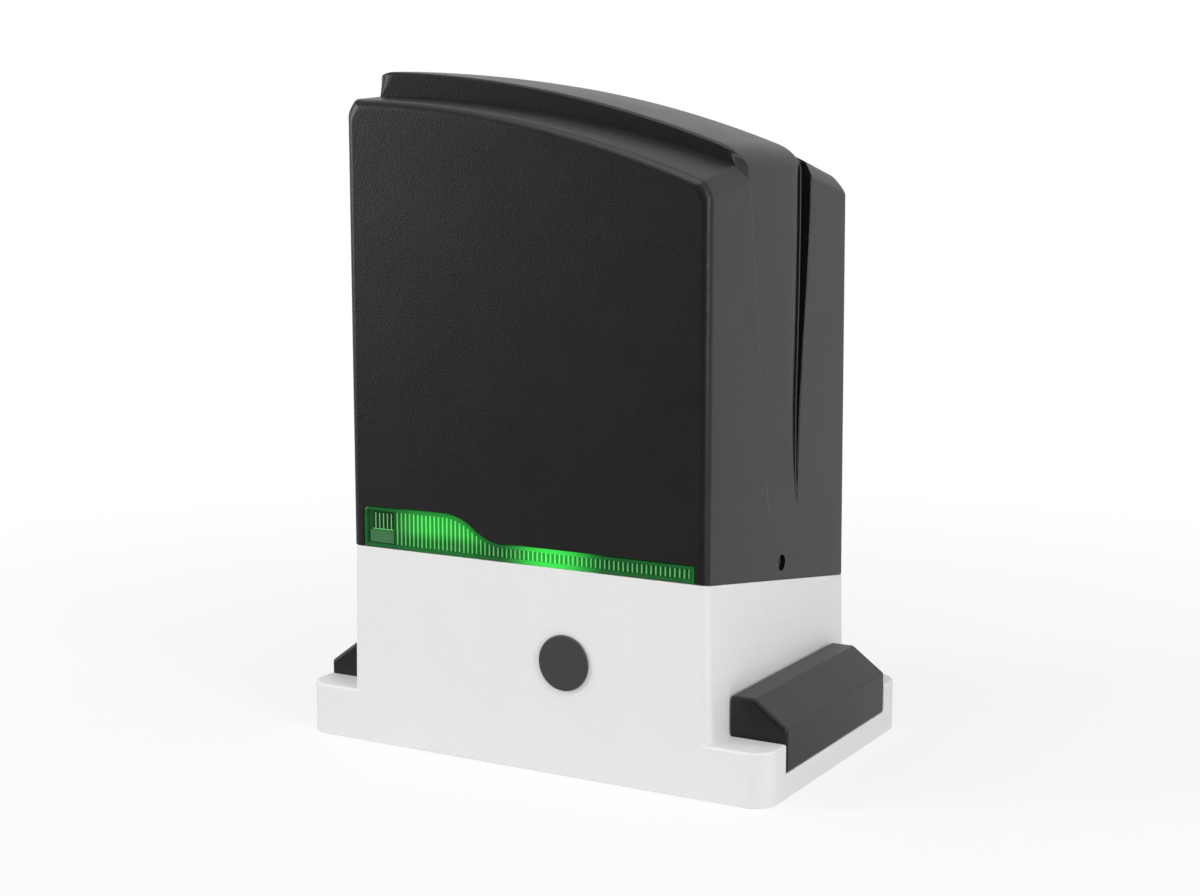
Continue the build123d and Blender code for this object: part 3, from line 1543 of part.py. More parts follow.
pieces = {
    "base_casting": base_casting,
    "cover_shell": cover_shell,
    "signal_lens": signal_lens,
    "led_board": led_board,
    "cover_screws": cover_screws,
    "screw_clips": screw_clips,
    "bolt_cover_right": bolt_cover_right,
    "bolt_cover_left": bolt_cover_left,
    "release_cap": release_cap,
    "release_spindle": release_spindle,
    "shift_fork": shift_fork,
    "shift_guide_pins": shift_guide_pins,
    "dog_clutch": dog_clutch,
    "output_shaft": output_shaft,
    "shaft_key": shaft_key,
    "drive_pinion": drive_pinion,
    "pinion_bolt": pinion_bolt,
    "front_shaft_bearing": front_shaft_bearing,
    "rear_shaft_bearing": rear_shaft_bearing,
    "shaft_seal": shaft_seal,
    "worm_wheel": worm_wheel,
    "motor_shaft": motor_shaft,
    "worm": worm,
    "armature": armature,
    "commutator": commutator,
    "encoder_disc": encoder_disc,
    "lower_worm_bearing": lower_worm_bearing,
    "upper_worm_bearing": upper_worm_bearing,
    "gearbox_gasket": gearbox_gasket,
    "gearbox_lid": gearbox_lid,
    "lid_screws": lid_screws,
    "motor_flange": motor_flange,
    "motor_screws": motor_screws,
    "motor_can": motor_can,
    "motor_magnets": motor_magnets,
    "motor_end_bell": motor_end_bell,
    "motor_brushes": motor_brushes,
    "encoder_sensor": encoder_sensor,
    "transformer_bracket": transformer_bracket,
    "toroidal_transformer": toroidal_transformer,
    "transformer_clamp": transformer_clamp,
    "board_carrier": board_carrier,
    "board_standoffs": board_standoffs,
    "control_board": control_board,
    "terminal_blocks": terminal_blocks,
    "relays": relays,
    "capacitors": capacitors,
    "display_window": display_window,
    "button_housings": button_housings,
    "limit_switch_housing": limit_switch_housing,
    "limit_lever": limit_lever,
    "limit_spring": limit_spring,
    "limit_microswitches": limit_microswitches,
    "cable_grommet": cable_grommet,
}
pieces.update(buttons)

os.makedirs("parts", exist_ok=True)
for name, piece in pieces.items():
    piece.part.label = name
    export_step(piece.part, f"parts/{name}.step")
print(len(pieces), "pieces written")
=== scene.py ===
# %% [markdown]
# # A sliding gate motor, dressed in Blender
# The motor is two shells on top of each other: a white cast base that is bolted to the ground, and a black
# moulded cover with a green signal lens. The CAD model is loaded as a fixed frame. This lesson gives every
# piece its finish, and builds the pieces whose shape matters most to the eye again as smooth meshes.

# %% Load the frame
import bpy
import bmesh
import json
import math
from mathutils import Matrix, Vector


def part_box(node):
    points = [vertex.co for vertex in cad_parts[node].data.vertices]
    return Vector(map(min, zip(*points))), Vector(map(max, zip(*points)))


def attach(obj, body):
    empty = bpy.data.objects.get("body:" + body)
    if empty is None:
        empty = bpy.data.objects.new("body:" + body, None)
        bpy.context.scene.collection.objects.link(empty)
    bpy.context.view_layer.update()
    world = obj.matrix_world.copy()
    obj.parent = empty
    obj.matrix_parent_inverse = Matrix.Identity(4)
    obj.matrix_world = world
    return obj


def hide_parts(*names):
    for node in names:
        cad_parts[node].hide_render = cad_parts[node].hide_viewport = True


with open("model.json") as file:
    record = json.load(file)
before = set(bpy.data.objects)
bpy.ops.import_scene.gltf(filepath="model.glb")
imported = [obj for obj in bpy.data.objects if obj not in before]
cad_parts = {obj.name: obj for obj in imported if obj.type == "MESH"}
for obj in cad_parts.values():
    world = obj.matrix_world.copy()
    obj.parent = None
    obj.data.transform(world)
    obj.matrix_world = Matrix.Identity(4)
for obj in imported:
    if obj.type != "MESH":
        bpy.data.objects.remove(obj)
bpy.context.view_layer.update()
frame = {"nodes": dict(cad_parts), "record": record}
nodes = frame["nodes"]
MM = 0.001

# %% [markdown]
# ## Camera
# The photo was taken from the front right, a little above the motor. A camera is fixed by where it stands,
# where it looks and its focal length. The three were worked out from the straight edges of the foot and
# cover.

# %% Camera
STAND = Vector((486.9, -854.0, 288.7)) * MM
PITCH = math.radians(8.248)
YAW = math.radians(29.834)
camera_data = bpy.data.cameras.new("photo_camera")
camera_data.sensor_width = 36
camera_data.lens = 58.709
camera = bpy.data.objects.new("photo_camera", camera_data)
bpy.context.scene.collection.objects.link(camera)
camera.location = STAND
camera.rotation_euler = (math.radians(90) - PITCH, 0, YAW)
bpy.context.scene.camera = camera
bpy.context.scene.view_settings.view_transform = "Standard"
print("camera at", [round(c, 3) for c in STAND])

# %% [markdown]
# ## Floor, world and lamps
# A studio photo of a black and white product uses large soft lamps, because small lamps make hard spots on
# black plastic. The white background isn't bright light: it is a white colour that only the camera and
# reflections see.


# %% Node tools
class Recipe:
    """A node tree of a material or a world, with short calls for adding and joining nodes."""

    def __init__(self, name, kind=bpy.data.materials, out="OutputMaterial"):
        self.owner = kind.new(name)
        self.owner.use_nodes = True
        self.tree = self.owner.node_tree
        self.tree.nodes.clear()
        self.out = self.node(out)

    def node(self, kind, **values):
        """New node. A value belongs to the node's setting or, if it has none, to the input of that name."""
        made = self.tree.nodes.new("ShaderNode" + kind)
        for key, value in values.items():
            if hasattr(made, key):
                setattr(made, key, value)
            else:
                made.inputs[key.replace("_", " ")].default_value = value
        return made

    def join(self, start, end):
        self.tree.links.new(start, end)

    def place(self):
        return self.node("TexCoord").outputs["Object"]

    def math(self, operation, *values):
        """Result of a sum on sockets or plain numbers."""
        made = self.node("Math", operation=operation)
        for socket, value in zip(made.inputs, values):
            if isinstance(value, float):
                socket.default_value = value
            else:
                self.join(value, socket)
        return made.outputs[0]

    def ramp(self, source, start, end, low, high):
        """Smooth step of a socket from one value to another."""
        made = self.node("MapRange", From_Min=start, From_Max=end, To_Min=low, To_Max=high)
        made.interpolation_type = "SMOOTHSTEP"
        self.join(source, made.inputs["Value"])
        return made.outputs[0]

    def white_but_in_gloss(self, path, strength):
        """1 for every ray but a glossy one, which gets the given strength."""
        lack = self.math("MULTIPLY", self.math("SUBTRACT", 1.0, strength), path["Is Glossy Ray"])
        return self.math("SUBTRACT", 1.0, lack)

    def blend(self, share, first, second):
        """Finish the tree with a blend of two shaders."""
        both = self.node("MixShader")
        for socket, source in zip(both.inputs, (share, first.outputs[0], second.outputs[0])):
            self.join(source, socket)
        self.join(both.outputs[0], self.out.inputs["Surface"])


# %% Floor
FLOOR_REACH = 6.0
ground = Recipe("studio_floor")
matt = ground.node("BsdfDiffuse", Color=(0.86, 0.86, 0.86, 1))
shine = ground.node("Emission", Color=(1, 1, 1, 1))
distance = ground.node("VectorMath", operation="LENGTH")
ground.join(ground.place(), distance.inputs[0])
path = ground.node("LightPath").outputs
directions = ground.node("SeparateXYZ")
ground.join(ground.place(), directions.inputs[0])
away = ground.ramp(distance.outputs["Value"], 0.12, 0.85, 0.72, 1.0)
in_view = ground.math("MAXIMUM", path["Is Camera Ray"], path["Is Transmission Ray"])
shown = ground.math("MAXIMUM", ground.math("MULTIPLY", away, in_view), path["Is Glossy Ray"])
behind = ground.ramp(directions.outputs["Y"], -0.5, 0.3, 0.10, 0.8)
ground.join(ground.white_but_in_gloss(path, behind), shine.inputs["Strength"])
ground.blend(shown, matt, shine)
floor_mesh = bpy.data.meshes.new("floor")
corners = [(x * FLOOR_REACH, y * FLOOR_REACH, 0) for x, y in ((-1, -1), (1, -1), (1, 1), (-1, 1))]
floor_mesh.from_pydata(corners, [], [(0, 1, 2, 3)])
floor = bpy.data.objects.new("floor", floor_mesh)
bpy.context.scene.collection.objects.link(floor)
floor.data.materials.append(ground.owner)
print("floor laid")

# %% World
sky = Recipe("studio", bpy.data.worlds, "OutputWorld")
bpy.context.scene.world = sky.owner
soft = sky.node("Background", Color=(0.97, 0.985, 1, 1), Strength=0.38)
seen = sky.node("Background", Color=(1, 1, 1, 1))
path = sky.node("LightPath").outputs
directions = sky.node("SeparateXYZ")
sky.join(sky.node("TexCoord").outputs["Generated"], directions.inputs[0])
behind = sky.ramp(directions.outputs["Y"], -0.5, 0.5, 0.06, 0.85)
sky.join(sky.white_but_in_gloss(path, behind), seen.inputs["Strength"])
in_view = sky.math("MAXIMUM", path["Is Camera Ray"], path["Is Transmission Ray"])
sky.blend(sky.math("MAXIMUM", in_view, path["Is Glossy Ray"]), soft, seen)
print("world is white to the camera, glass and gloss")


# %% Lamps
def soft_lamp(name, place, aim, width, height, power):
    """Large area lamp that stands at a place and points at another."""
    data = bpy.data.lights.new(name, "AREA")
    data.shape = "RECTANGLE"
    data.size = width
    data.size_y = height
    data.energy = power
    lamp = bpy.data.objects.new(name, data)
    bpy.context.scene.collection.objects.link(lamp)
    lamp.location = place
    lamp.rotation_euler = (Vector(aim) - Vector(place)).to_track_quat("-Z", "Y").to_euler()
    return lamp


soft_lamp("overhead", (0.1, -0.45, 1.65), (0, 0, 0.2), 1.2, 1.2, 11)
soft_lamp("right_window", (1.75, -0.72, 0.7), (0, 0, 0.2), 0.5, 1.4, 17)
soft_lamp("front_left", (-1.8, -1.15, 0.75), (0, 0, 0.2), 0.6, 1.3, 23)
print("three soft lamps set")

# %% [markdown]
# ## Finishes
# Powder coat, grained plastic and machined metal differ in three things: colour, how rough the surface is,
# and the small bumps on it. Each finish below mixes two close colours with a noise, so that no surface is
# one flat colour, and drives a bump from a noise at the size of the real grain.


# %% Finish maker
CLOUD = 28.0


def finish(name, color, roughness, metallic=0.0, grain=0.0, grain_size=0.8, spread=0.06, specular=0.5):
    """Finish with uneven colour, uneven gloss and a bump of the given depth and size in millimetres."""
    recipe = Recipe(name)
    shader = recipe.node("BsdfPrincipled", Metallic=metallic, Specular_IOR_Level=specular)
    place = recipe.place()
    cloud = recipe.node("TexNoise", Scale=1000 / CLOUD, Detail=4.0)
    recipe.join(place, cloud.inputs["Vector"])
    tint = recipe.node("Mix", data_type="RGBA")
    tint.inputs[6].default_value = [c * (1 - spread) for c in color] + [1]
    tint.inputs[7].default_value = [min(1, c * (1 + spread)) for c in color] + [1]
    recipe.join(cloud.outputs["Fac"], tint.inputs[0])
    fine = recipe.node("TexNoise", Scale=1000 / grain_size, Detail=2.0, Roughness=0.6)
    recipe.join(place, fine.inputs["Vector"])
    speck = recipe.node("Mix", data_type="RGBA", blend_type="MULTIPLY")
    speck.inputs[0].default_value = 0.5
    tone = recipe.node("MapRange", From_Min=0.3, From_Max=0.7, To_Min=1 - 3 * spread, To_Max=1.0)
    recipe.join(fine.outputs["Fac"], tone.inputs["Value"])
    recipe.join(tint.outputs[2], speck.inputs[6])
    recipe.join(tone.outputs[0], speck.inputs[7])
    recipe.join(speck.outputs[2], shader.inputs["Base Color"])
    gloss = recipe.node("MapRange", To_Min=roughness - 0.04, To_Max=roughness + 0.04)
    recipe.join(cloud.outputs["Fac"], gloss.inputs["Value"])
    recipe.join(gloss.outputs[0], shader.inputs["Roughness"])
    if grain > 0:
        bump = recipe.node("Bump", Strength=1.0, Distance=grain * MM)
        recipe.join(fine.outputs["Fac"], bump.inputs["Height"])
        recipe.join(bump.outputs[0], shader.inputs["Normal"])
    recipe.join(shader.outputs[0], recipe.out.inputs["Surface"])
    return recipe.owner


# %% Finishes of the shells
powder_coat = finish("white_powder_coat", (0.76, 0.76, 0.75), 0.50, grain=0.13, grain_size=1.3, spread=0.015)
cover_grain = finish(
    "black_grained_plastic", (0.0115, 0.0115, 0.0115), 0.37,
    grain=0.11, grain_size=1.05, spread=0.08, specular=0.38,
)
# Painted shade: a near-black finish, darker than the cover's plastic. It goes on the hollows of the cover
# and on the terminals' wire mouths, which in the real thing are only in shade.
painted_shade_black = finish(
    "channel_black_plastic", (0.004, 0.004, 0.004), 0.70, grain=0.05, spread=0.1, specular=0.15
)
plug_plastic = finish("dark_plug_plastic", (0.045, 0.045, 0.042), 0.42, grain=0.02, spread=0.05)
dark_zinc = finish("dark_zinc_screw", (0.16, 0.16, 0.165), 0.34, 1.0, 0.008, 0.5, 0.08)
print("finishes of the shells made")

# %% Finishes of the works inside
works = {
    "zinc_steel": finish("zinc_plate", (0.62, 0.62, 0.60), 0.30, 1.0, 0.01, 0.6, 0.05),
    "ground_steel": finish("ground_steel", (0.60, 0.60, 0.61), 0.20, 1.0, 0.004, 0.3, 0.03),
    "gear_steel": finish("gear_steel", (0.42, 0.42, 0.43), 0.34, 1.0, 0.01, 0.5, 0.06),
    "bronze": finish("gear_bronze", (0.60, 0.38, 0.15), 0.30, 1.0, 0.008, 0.6, 0.06),
    "rubber": finish("black_rubber", (0.022, 0.022, 0.022), 0.70, 0.0, 0.02, 1.2, 0.1),
    "cast_aluminium": finish("cast_aluminium", (0.60, 0.61, 0.62), 0.48, 1.0, 0.06, 1.0, 0.06),
    "copper": finish("bare_copper", (0.72, 0.34, 0.18), 0.28, 1.0, 0.01, 0.6, 0.06),
    "winding_tape": finish("winding_tape", (0.62, 0.46, 0.10), 0.35, 0.0, 0.03, 3.0, 0.1),
    "lamination": finish("steel_laminations", (0.30, 0.30, 0.31), 0.42, 1.0, 0.03, 0.5, 0.1),
    "ferrite": finish("ferrite", (0.06, 0.06, 0.065), 0.60, 0.0, 0.03, 1.0, 0.1),
    "paper_gasket": finish("paper_gasket", (0.30, 0.20, 0.11), 0.80, 0.0, 0.02, 0.6, 0.1),
    "grey_plastic": finish("grey_plastic", (0.10, 0.105, 0.11), 0.48, 0.0, 0.02, 0.8, 0.06),
    "circuit_board": finish("solder_mask", (0.010, 0.11, 0.035), 0.32, 0.0, 0.01, 1.5, 0.2),
    "green_terminal": finish("terminal_green", (0.03, 0.24, 0.06), 0.40, 0.0, 0.01, 0.8, 0.05),
    "relay_case": finish("relay_blue", (0.02, 0.05, 0.20), 0.30, 0.0, 0.005, 0.8, 0.05),
    "capacitor_sleeve": finish("capacitor_sleeve", (0.015, 0.02, 0.035), 0.28, 0.0, 0.005, 0.8, 0.1),
    "display_glass": finish("display_window", (0.05, 0.005, 0.005), 0.10, 0.0, 0.002, 2.0, 0.1),
    "button_cap": finish("button_plastic", (0.55, 0.53, 0.46), 0.45, 0.0, 0.01, 0.8, 0.04),
    "motor_paint": finish("motor_paint", (0.045, 0.045, 0.05), 0.35, 0.0, 0.02, 1.0, 0.08),
    "lamp_board": finish("lamp_board", (0.70, 0.72, 0.70), 0.40, 0.0, 0.01, 1.0, 0.05),
    "white_casting": powder_coat,
    "black_cover": cover_grain,
    "dark_plug": plug_plastic,
    "green_lens": finish("green_lens_plastic", (0.014, 0.13, 0.030), 0.16, 0.0, 0.004, 1.5, 0.2),
}
print(len(works), "finishes made")


# %% Give each CAD node its finish
for part in frame["record"]["subparts"]:
    piece = nodes[part["node"]]
    piece.data.materials.clear()
    piece.data.materials.append(works[part["material_slot"]])

# %% [markdown]
# ## Cover
# The black cover is one moulding with three parts: a low front shell, a taller ridge that bends over the
# top and down both sides, and a rear shell behind a deep dark channel. Every cross-section from side to
# side has the same build: up one side, round a corner, over a shallow arch, round the other corner and
# down. So the skin is made as a net of such sections. The lines of the net follow the real edges, which
# keeps them crisp, and the sections close to an edge are spaced like a quarter circle, which rounds it.

# %% Cover sizes in millimetres
HALF = 99.0
FRONT = -81.0
REAR = 78.0
PARTING_FRONT = 100.6
PARTING_REAR = 77.0
PARTING_SLOPE = (PARTING_FRONT - PARTING_REAR) / (REAR - FRONT)
REAR_WALL_HEIGHT = 231.0
STEP_SWEEP = 9.5
STEP_FALL = 9.0
FRONT_TOPS = (319.8, 308.5, 279.2)
SHOULDER_RISE = (2.9, 5.3, 7.8)
FOOT_OF_RIDGE = 33.0
RIDGE_REAR = FRONT + 99.0
LINE_END = 123.6
TIP = 125.0
CHANNEL = 5.6
BAND_ROUND = 10.0


def parting(y):
    """Height of the joint between cover and base."""
    return PARTING_FRONT - PARTING_SLOPE * (y - FRONT)


def arch(x, tops):
    """Height over x of the circle through three heights: left side, middle and right side."""
    left, middle, right = tops
    below = (2 * middle**2 - left**2 - right**2 - 2 * HALF**2) / (2 * (2 * middle - left - right))
    across = (middle**2 - left**2 - HALF**2 - 2 * (middle - left) * below) / (2 * HALF)
    radius = math.hypot(across, middle - below)
    return below + math.sqrt(radius**2 - (x - across) ** 2)


def mix(a, b, share):
    return a + (b - a) * share


def ease(value):
    """Smooth step from 0 to 1."""
    value = max(0.0, min(1.0, value))
    return value * value * (3 - 2 * value)


print("cover is", 2 * HALF, "mm wide and", REAR - FRONT, "mm deep")

# %% Heights along the cover


def shell_tops(y):
    """Three heights of the front shell at y."""
    share = (y - FRONT) / FOOT_OF_RIDGE
    return tuple(top + rise * share for top, rise in zip(FRONT_TOPS, SHOULDER_RISE))


def ridge_tops(y):
    """Three heights of the ridge at y, highest at its middle."""
    share = (y - FRONT - 23.0) / 76.0
    lift = 14.2 + 0.2 * share + 4 * 1.1 * share * (1 - share)
    return tuple(top + lift for top in FRONT_TOPS)


def rear_tops(y):
    """Three heights of the rear shell, falling to the rear."""
    share = (y - RIDGE_REAR) / (REAR - RIDGE_REAR)
    return tuple(top + (rise + 4.0) * (1 - share) for top, rise in zip(FRONT_TOPS, SHOULDER_RISE))


print("ridge is", round(ridge_tops(-30)[1] - shell_tops(-50)[1], 1), "mm above the front shell")

# %% Lines of the ridge on the top and on the sides


def ridge_front(x):
    """The ridge's front wall runs at a slant over the top."""
    return FRONT + 23.0 + 10.0 * (x + HALF) / (2 * HALF)


def ridge_line(side, z):
    """The same wall as a thin step down the side, from the corner to just above the side screw."""
    start = ridge_front(side * HALF)
    corner = arch(side * HALF, shell_tops(start))
    bend = corner - STEP_FALL
    if z > bend:
        return start + STEP_SWEEP * math.sqrt(max(0.0, 1 - min(1.0, (z - bend) / STEP_FALL) ** 2))
    share = (bend - max(z, LINE_END)) / (bend - LINE_END)
    return mix(start + STEP_SWEEP, FRONT + 65.5, share)


CHANNEL_LINES = (
    (125.0, 16.4, 17.0), (170.0, 16.5, 19.2), (200.0, 17.7, 22.2), (230.0, 18.5, 25.8), (260.0, 18.8, 28.4),
    (300.0, 18.4, 29.6),
)


def between_lines(column, z):
    """Place of the channel's front or rear edge at a height, between the heights where it was measured."""
    z = max(CHANNEL_LINES[0][0], min(CHANNEL_LINES[-1][0], z))
    for low, high in zip(CHANNEL_LINES, CHANNEL_LINES[1:]):
        if z <= high[0]:
            return mix(low[column], high[column], (z - low[0]) / (high[0] - low[0]))


def channel_front(side, z):
    return between_lines(1, z)


def channel_rear(side, z):
    return between_lines(2, z)


def channel_depth(side, z):
    """The channel is deep for most of its height and runs out to nothing at its tip."""
    return CHANNEL * (1 - math.exp(-max(0.0, z - TIP) / 50.0))


def band_dip(side, z):
    """How far the band curves in before the channel."""
    return min(1.9, 0.5 * channel_depth(side, z))


def band_end(side, z):
    """Where the band starts to curve in."""
    return channel_front(side, z) - 1.6 - (BAND_ROUND - 1.6) * min(1.0, channel_depth(side, z) / 3.0)


def step_depth(side, z):
    """Depth of the thin step along the ridge's side line."""
    return 0.8 * ease((z - LINE_END) / 30.0)


print("channel is", round(channel_depth(1, 240), 1), "mm deep high up")

# %% Net of sections
SIDE_ROWS = 44
CORNER_ROWS = 8
TOP_ROWS = 56
LEAST_STEP = 0.02


def quarter(steps, turn=90):
    """Angles of a turn, from 0."""
    return [math.radians(turn * step / steps) for step in range(steps + 1)]


class Net:
    """Sections across the cover, one behind the other, that become one closed solid."""

    def __init__(self, wall=0.0, floor=0.3):
        self.wall = wall
        self.floor = floor
        self.lines = []

    def add(
        self, tops, top_y, side_y, inset=0.0, drop=0.0,
        corner=7.0, across=4.8, roundness=0.25, depth=None, lean=0.0,
    ):
        """One section. Its places along Y may change, but no point comes before the section ahead of it."""
        half = HALF - inset - self.wall
        sink = inset + drop + self.wall
        corner = corner - 0.8 * self.wall
        across = across - 0.6 * self.wall
        line = []
        for side in (-1, 1):
            high = arch(side * half, tops(top_y(side * half))) - sink
            inner = side * (half - across)
            high_inner = arch(inner, tops(top_y(inner))) - sink
            start = high - corner
            run = []
            for row in range(SIDE_ROWS):
                z = mix(parting(side_y(side, PARTING_FRONT)) + self.floor, start, row / SIDE_ROWS)
                run.append((side * half, side_y(side, z), z))
            for row in range(CORNER_ROWS):
                t = row / CORNER_ROWS
                s = 1 - t
                in_pull = inner + side * roundness * across
                low_pull = start + roundness * corner
                high_pull = mix(high_inner, high, roundness)
                x = (s**3 + 3 * s * s * t) * side * half + 3 * s * t * t * in_pull + t**3 * inner
                z = s**3 * start + 3 * s * s * t * low_pull + 3 * s * t * t * high_pull + t**3 * high_inner
                run.append((x, mix(side_y(side, z), top_y(x), ease(t)), z))
            limited = []
            for x, y, z in run:
                limit = half - (depth(side, z) if depth else 0.0)
                y -= lean * (z - PARTING_REAR) / REAR_WALL_HEIGHT
                limited.append((side * min(abs(x), limit), y, z))
            if side < 0:
                line += limited
                left_inner = inner
            else:
                for row in range(TOP_ROWS + 1):
                    x = mix(left_inner, inner, row / TOP_ROWS)
                    y = top_y(x)
                    z = arch(x, tops(y)) - sink
                    line.append((x, y - lean * (z - PARTING_REAR) / REAR_WALL_HEIGHT, z))
                line += reversed(limited)
        points = [Vector(point) * MM for point in line]
        if self.lines:
            for point, ahead in zip(points, self.lines[-1]):
                point.y = max(point.y, ahead.y + LEAST_STEP * MM)
        self.lines.append(points)

    def solid(self, name, material, groove=(0, 0), groove_shade_material=None):
        """Closed mesh over the sections, with flat ends and an underside. Faces high in the channel can get
        a second, near-black finish that paints the channel's shade.
        """
        width = len(self.lines[0])
        points = [point for line in self.lines for point in line]
        faces = [
            (k * width + j, k * width + j + 1, (k + 1) * width + j + 1, (k + 1) * width + j)
            for k in range(len(self.lines) - 1)
            for j in range(width - 1)
        ]
        # Faces high in the channel, which get the near-black finish as painted shade.
        in_groove = [
            groove[0] <= k < groove[1]
            and (j < SIDE_ROWS + 6 or j > width - SIDE_ROWS - 8)
            and self.lines[k][j].z > (TIP + 4.0) * MM
            for k in range(len(self.lines) - 1)
            for j in range(width - 1)
        ]
        last = len(self.lines) - 1
        faces.append(tuple(reversed(range(width))))
        faces.append(tuple(last * width + j for j in range(width)))
        left = [k * width for k in range(last + 1)]
        right = [k * width + width - 1 for k in reversed(range(last + 1))]
        faces.append(tuple(left + right))
        piece = mesh_piece(name, points, faces, material)
        if groove_shade_material:
            piece.data.materials.append(groove_shade_material)
            for face, inside in zip(piece.data.polygons, in_groove):
                face.material_index = int(inside)
        face_outwards(piece)
        return piece


# %% Mesh tools
def mesh_piece(name, points, faces, material):
    """New object from points and faces."""
    mesh = bpy.data.meshes.new(name)
    mesh.from_pydata([tuple(point) for point in points], [], faces)
    piece = bpy.data.objects.new(name, mesh)
    bpy.context.scene.collection.objects.link(piece)
    mesh.materials.append(material)
    return piece


def face_outwards(piece):
    """Merge doubled points and turn all faces outwards."""
    net = bmesh.new()
    net.from_mesh(piece.data)
    bmesh.ops.remove_doubles(net, verts=net.verts, dist=0.002 * MM)
    bmesh.ops.recalc_face_normals(net, faces=net.faces)
    net.to_mesh(piece.data)
    net.free()


def apply_modifiers(piece):
    """Turn what the modifiers make into the piece's own mesh."""
    bpy.context.view_layer.update()
    evaluated = piece.evaluated_get(bpy.context.evaluated_depsgraph_get())
    mesh = bpy.data.meshes.new_from_object(evaluated)
    piece.modifiers.clear()
    piece.data = mesh
    return piece


def soften(piece, degrees=32):
    """Smooth shading that keeps flat faces flat, with sharp edges where faces meet at more than an angle."""
    net = bmesh.new()
    net.from_mesh(piece.data)
    for face in net.faces:
        face.smooth = True
    limit = math.radians(degrees)
    for edge in net.edges:
        edge.smooth = len(edge.link_faces) == 2 and edge.calc_face_angle(0) < limit
    net.to_mesh(piece.data)
    net.free()
    even = piece.modifiers.new("even", "WEIGHTED_NORMAL")
    even.keep_sharp = True
    return apply_modifiers(piece)


def prism(name, outline, start, end, material, axis="Y"):
    """Solid between two places along X or Y, from an outline."""
    count = len(outline)
    place_of = {"X": lambda a, b, c: (c, a, b), "Y": lambda a, b, c: (a, c, b)}
    points = [Vector(place_of[axis](a, b, place)) * MM for place in (start, end) for a, b in outline]
    faces = [tuple(range(count)), tuple(reversed(range(count, 2 * count)))]
    faces += [(j, j + count, (j + 1) % count + count, (j + 1) % count) for j in range(count)]
    piece = mesh_piece(name, points, faces, material)
    face_outwards(piece)
    return piece


def disc(radius, a=0.0, b=0.0, count=40):
    """Round outline about a point."""
    turns = [2 * math.pi * n / count for n in range(count)]
    return [(a + radius * math.cos(turn), b + radius * math.sin(turn)) for turn in turns]


def box_outline(a0, a1, b0, b1):
    return [(a0, b0), (a1, b0), (a1, b1), (a0, b1)]


def cut(piece, cutters):
    """Cut solids out of a piece and remove them."""
    for cutter in cutters:
        knife = piece.modifiers.new("cut", "BOOLEAN")
        knife.operation = "DIFFERENCE"
        knife.solver = "EXACT"
        knife.object = cutter
    apply_modifiers(piece)
    for cutter in cutters:
        bpy.data.objects.remove(cutter)
    return piece


# %% Front shell
skin = Net()
EDGE = 4.4
for angle in quarter(5):
    away = FRONT + EDGE * (1 - math.cos(angle))
    skin.add(shell_tops, lambda x: away, lambda side, z: away, inset=EDGE * (1 - math.sin(angle)))
for share in (0.25, 0.5, 0.75, 0.95):
    skin.add(
        shell_tops,
        lambda x: mix(FRONT + EDGE, ridge_front(x), share),
        lambda side, z: mix(FRONT + EDGE, ridge_line(side, z), share),
    )
STEP_EDGE = 0.7
for angle in quarter(3, 60):
    skin.add(
        shell_tops,
        lambda x: ridge_front(x) - STEP_EDGE + STEP_EDGE * math.sin(angle),
        lambda side, z: ridge_line(side, z) - STEP_EDGE + STEP_EDGE * math.sin(angle),
        depth=lambda side, z: step_depth(side, z) * (1 - math.cos(angle)),
    )
print(len(skin.lines), "sections to the foot of the ridge")

# %% Ridge
TALL = dict(corner=12.0, across=12.0, roundness=0.70)
skin.add(
    shell_tops, lambda x: ridge_front(x) + 0.2, lambda side, z: ridge_line(side, z) + 0.2, depth=step_depth
)
RIDGE_EDGE = 1.8
for angle in quarter(4):
    away = 0.6 + RIDGE_EDGE * (1 - math.cos(angle))
    skin.add(
        ridge_tops,
        lambda x: ridge_front(x) + away,
        lambda side, z: ridge_line(side, z) + away,
        drop=RIDGE_EDGE * (1 - math.sin(angle)),
        depth=step_depth,
        **TALL,
    )
for share in (0.1, 0.25, 0.4, 0.55, 0.7, 0.85):
    skin.add(
        ridge_tops,
        lambda x: mix(ridge_front(x) + 3.1, RIDGE_REAR - 1.6, share),
        lambda side, z: mix(ridge_line(side, z) + 3.1, band_end(side, z), share),
        depth=step_depth,
        **TALL,
    )
for angle in quarter(6, 75):
    part = math.sin(angle) / math.sin(math.radians(75))
    fall = (1 - math.cos(angle)) / (1 - math.cos(math.radians(75)))
    skin.add(
        ridge_tops,
        lambda x: RIDGE_REAR - 1.6 + 1.5 * part,
        lambda side, z: mix(band_end(side, z), channel_front(side, z) - 1.5, part),
        drop=0.5 * fall,
        depth=lambda side, z: mix(step_depth(side, z), max(step_depth(side, z), band_dip(side, z)), fall),
        **TALL,
    )
print(len(skin.lines), "sections to the rear of the ridge")

# %% Channel
for away, dip in ((1.3, 0.4), (0.25, 0.4), (0.0, 0.6)):
    skin.add(
        ridge_tops,
        lambda x: RIDGE_REAR + 0.1 * (1 - away / 1.3),
        lambda side, z: channel_front(side, z) - away,
        drop=0.7,
        depth=lambda side, z: dip * band_dip(side, z),
        **TALL,
    )
groove_start = len(skin.lines) - 1
for share in (0.0, 0.5, 1.0):
    skin.add(
        rear_tops,
        lambda x: RIDGE_REAR + 0.2 + 11.8 * share,
        lambda side, z: mix(channel_front(side, z) + 0.1, channel_rear(side, z), share),
        depth=channel_depth,
    )
skin.add(
    rear_tops, lambda x: RIDGE_REAR + 12.1, lambda side, z: channel_rear(side, z) + 0.1,
    depth=lambda side, z: min(0.6, channel_depth(side, z)),
)
groove_end = len(skin.lines) - 1

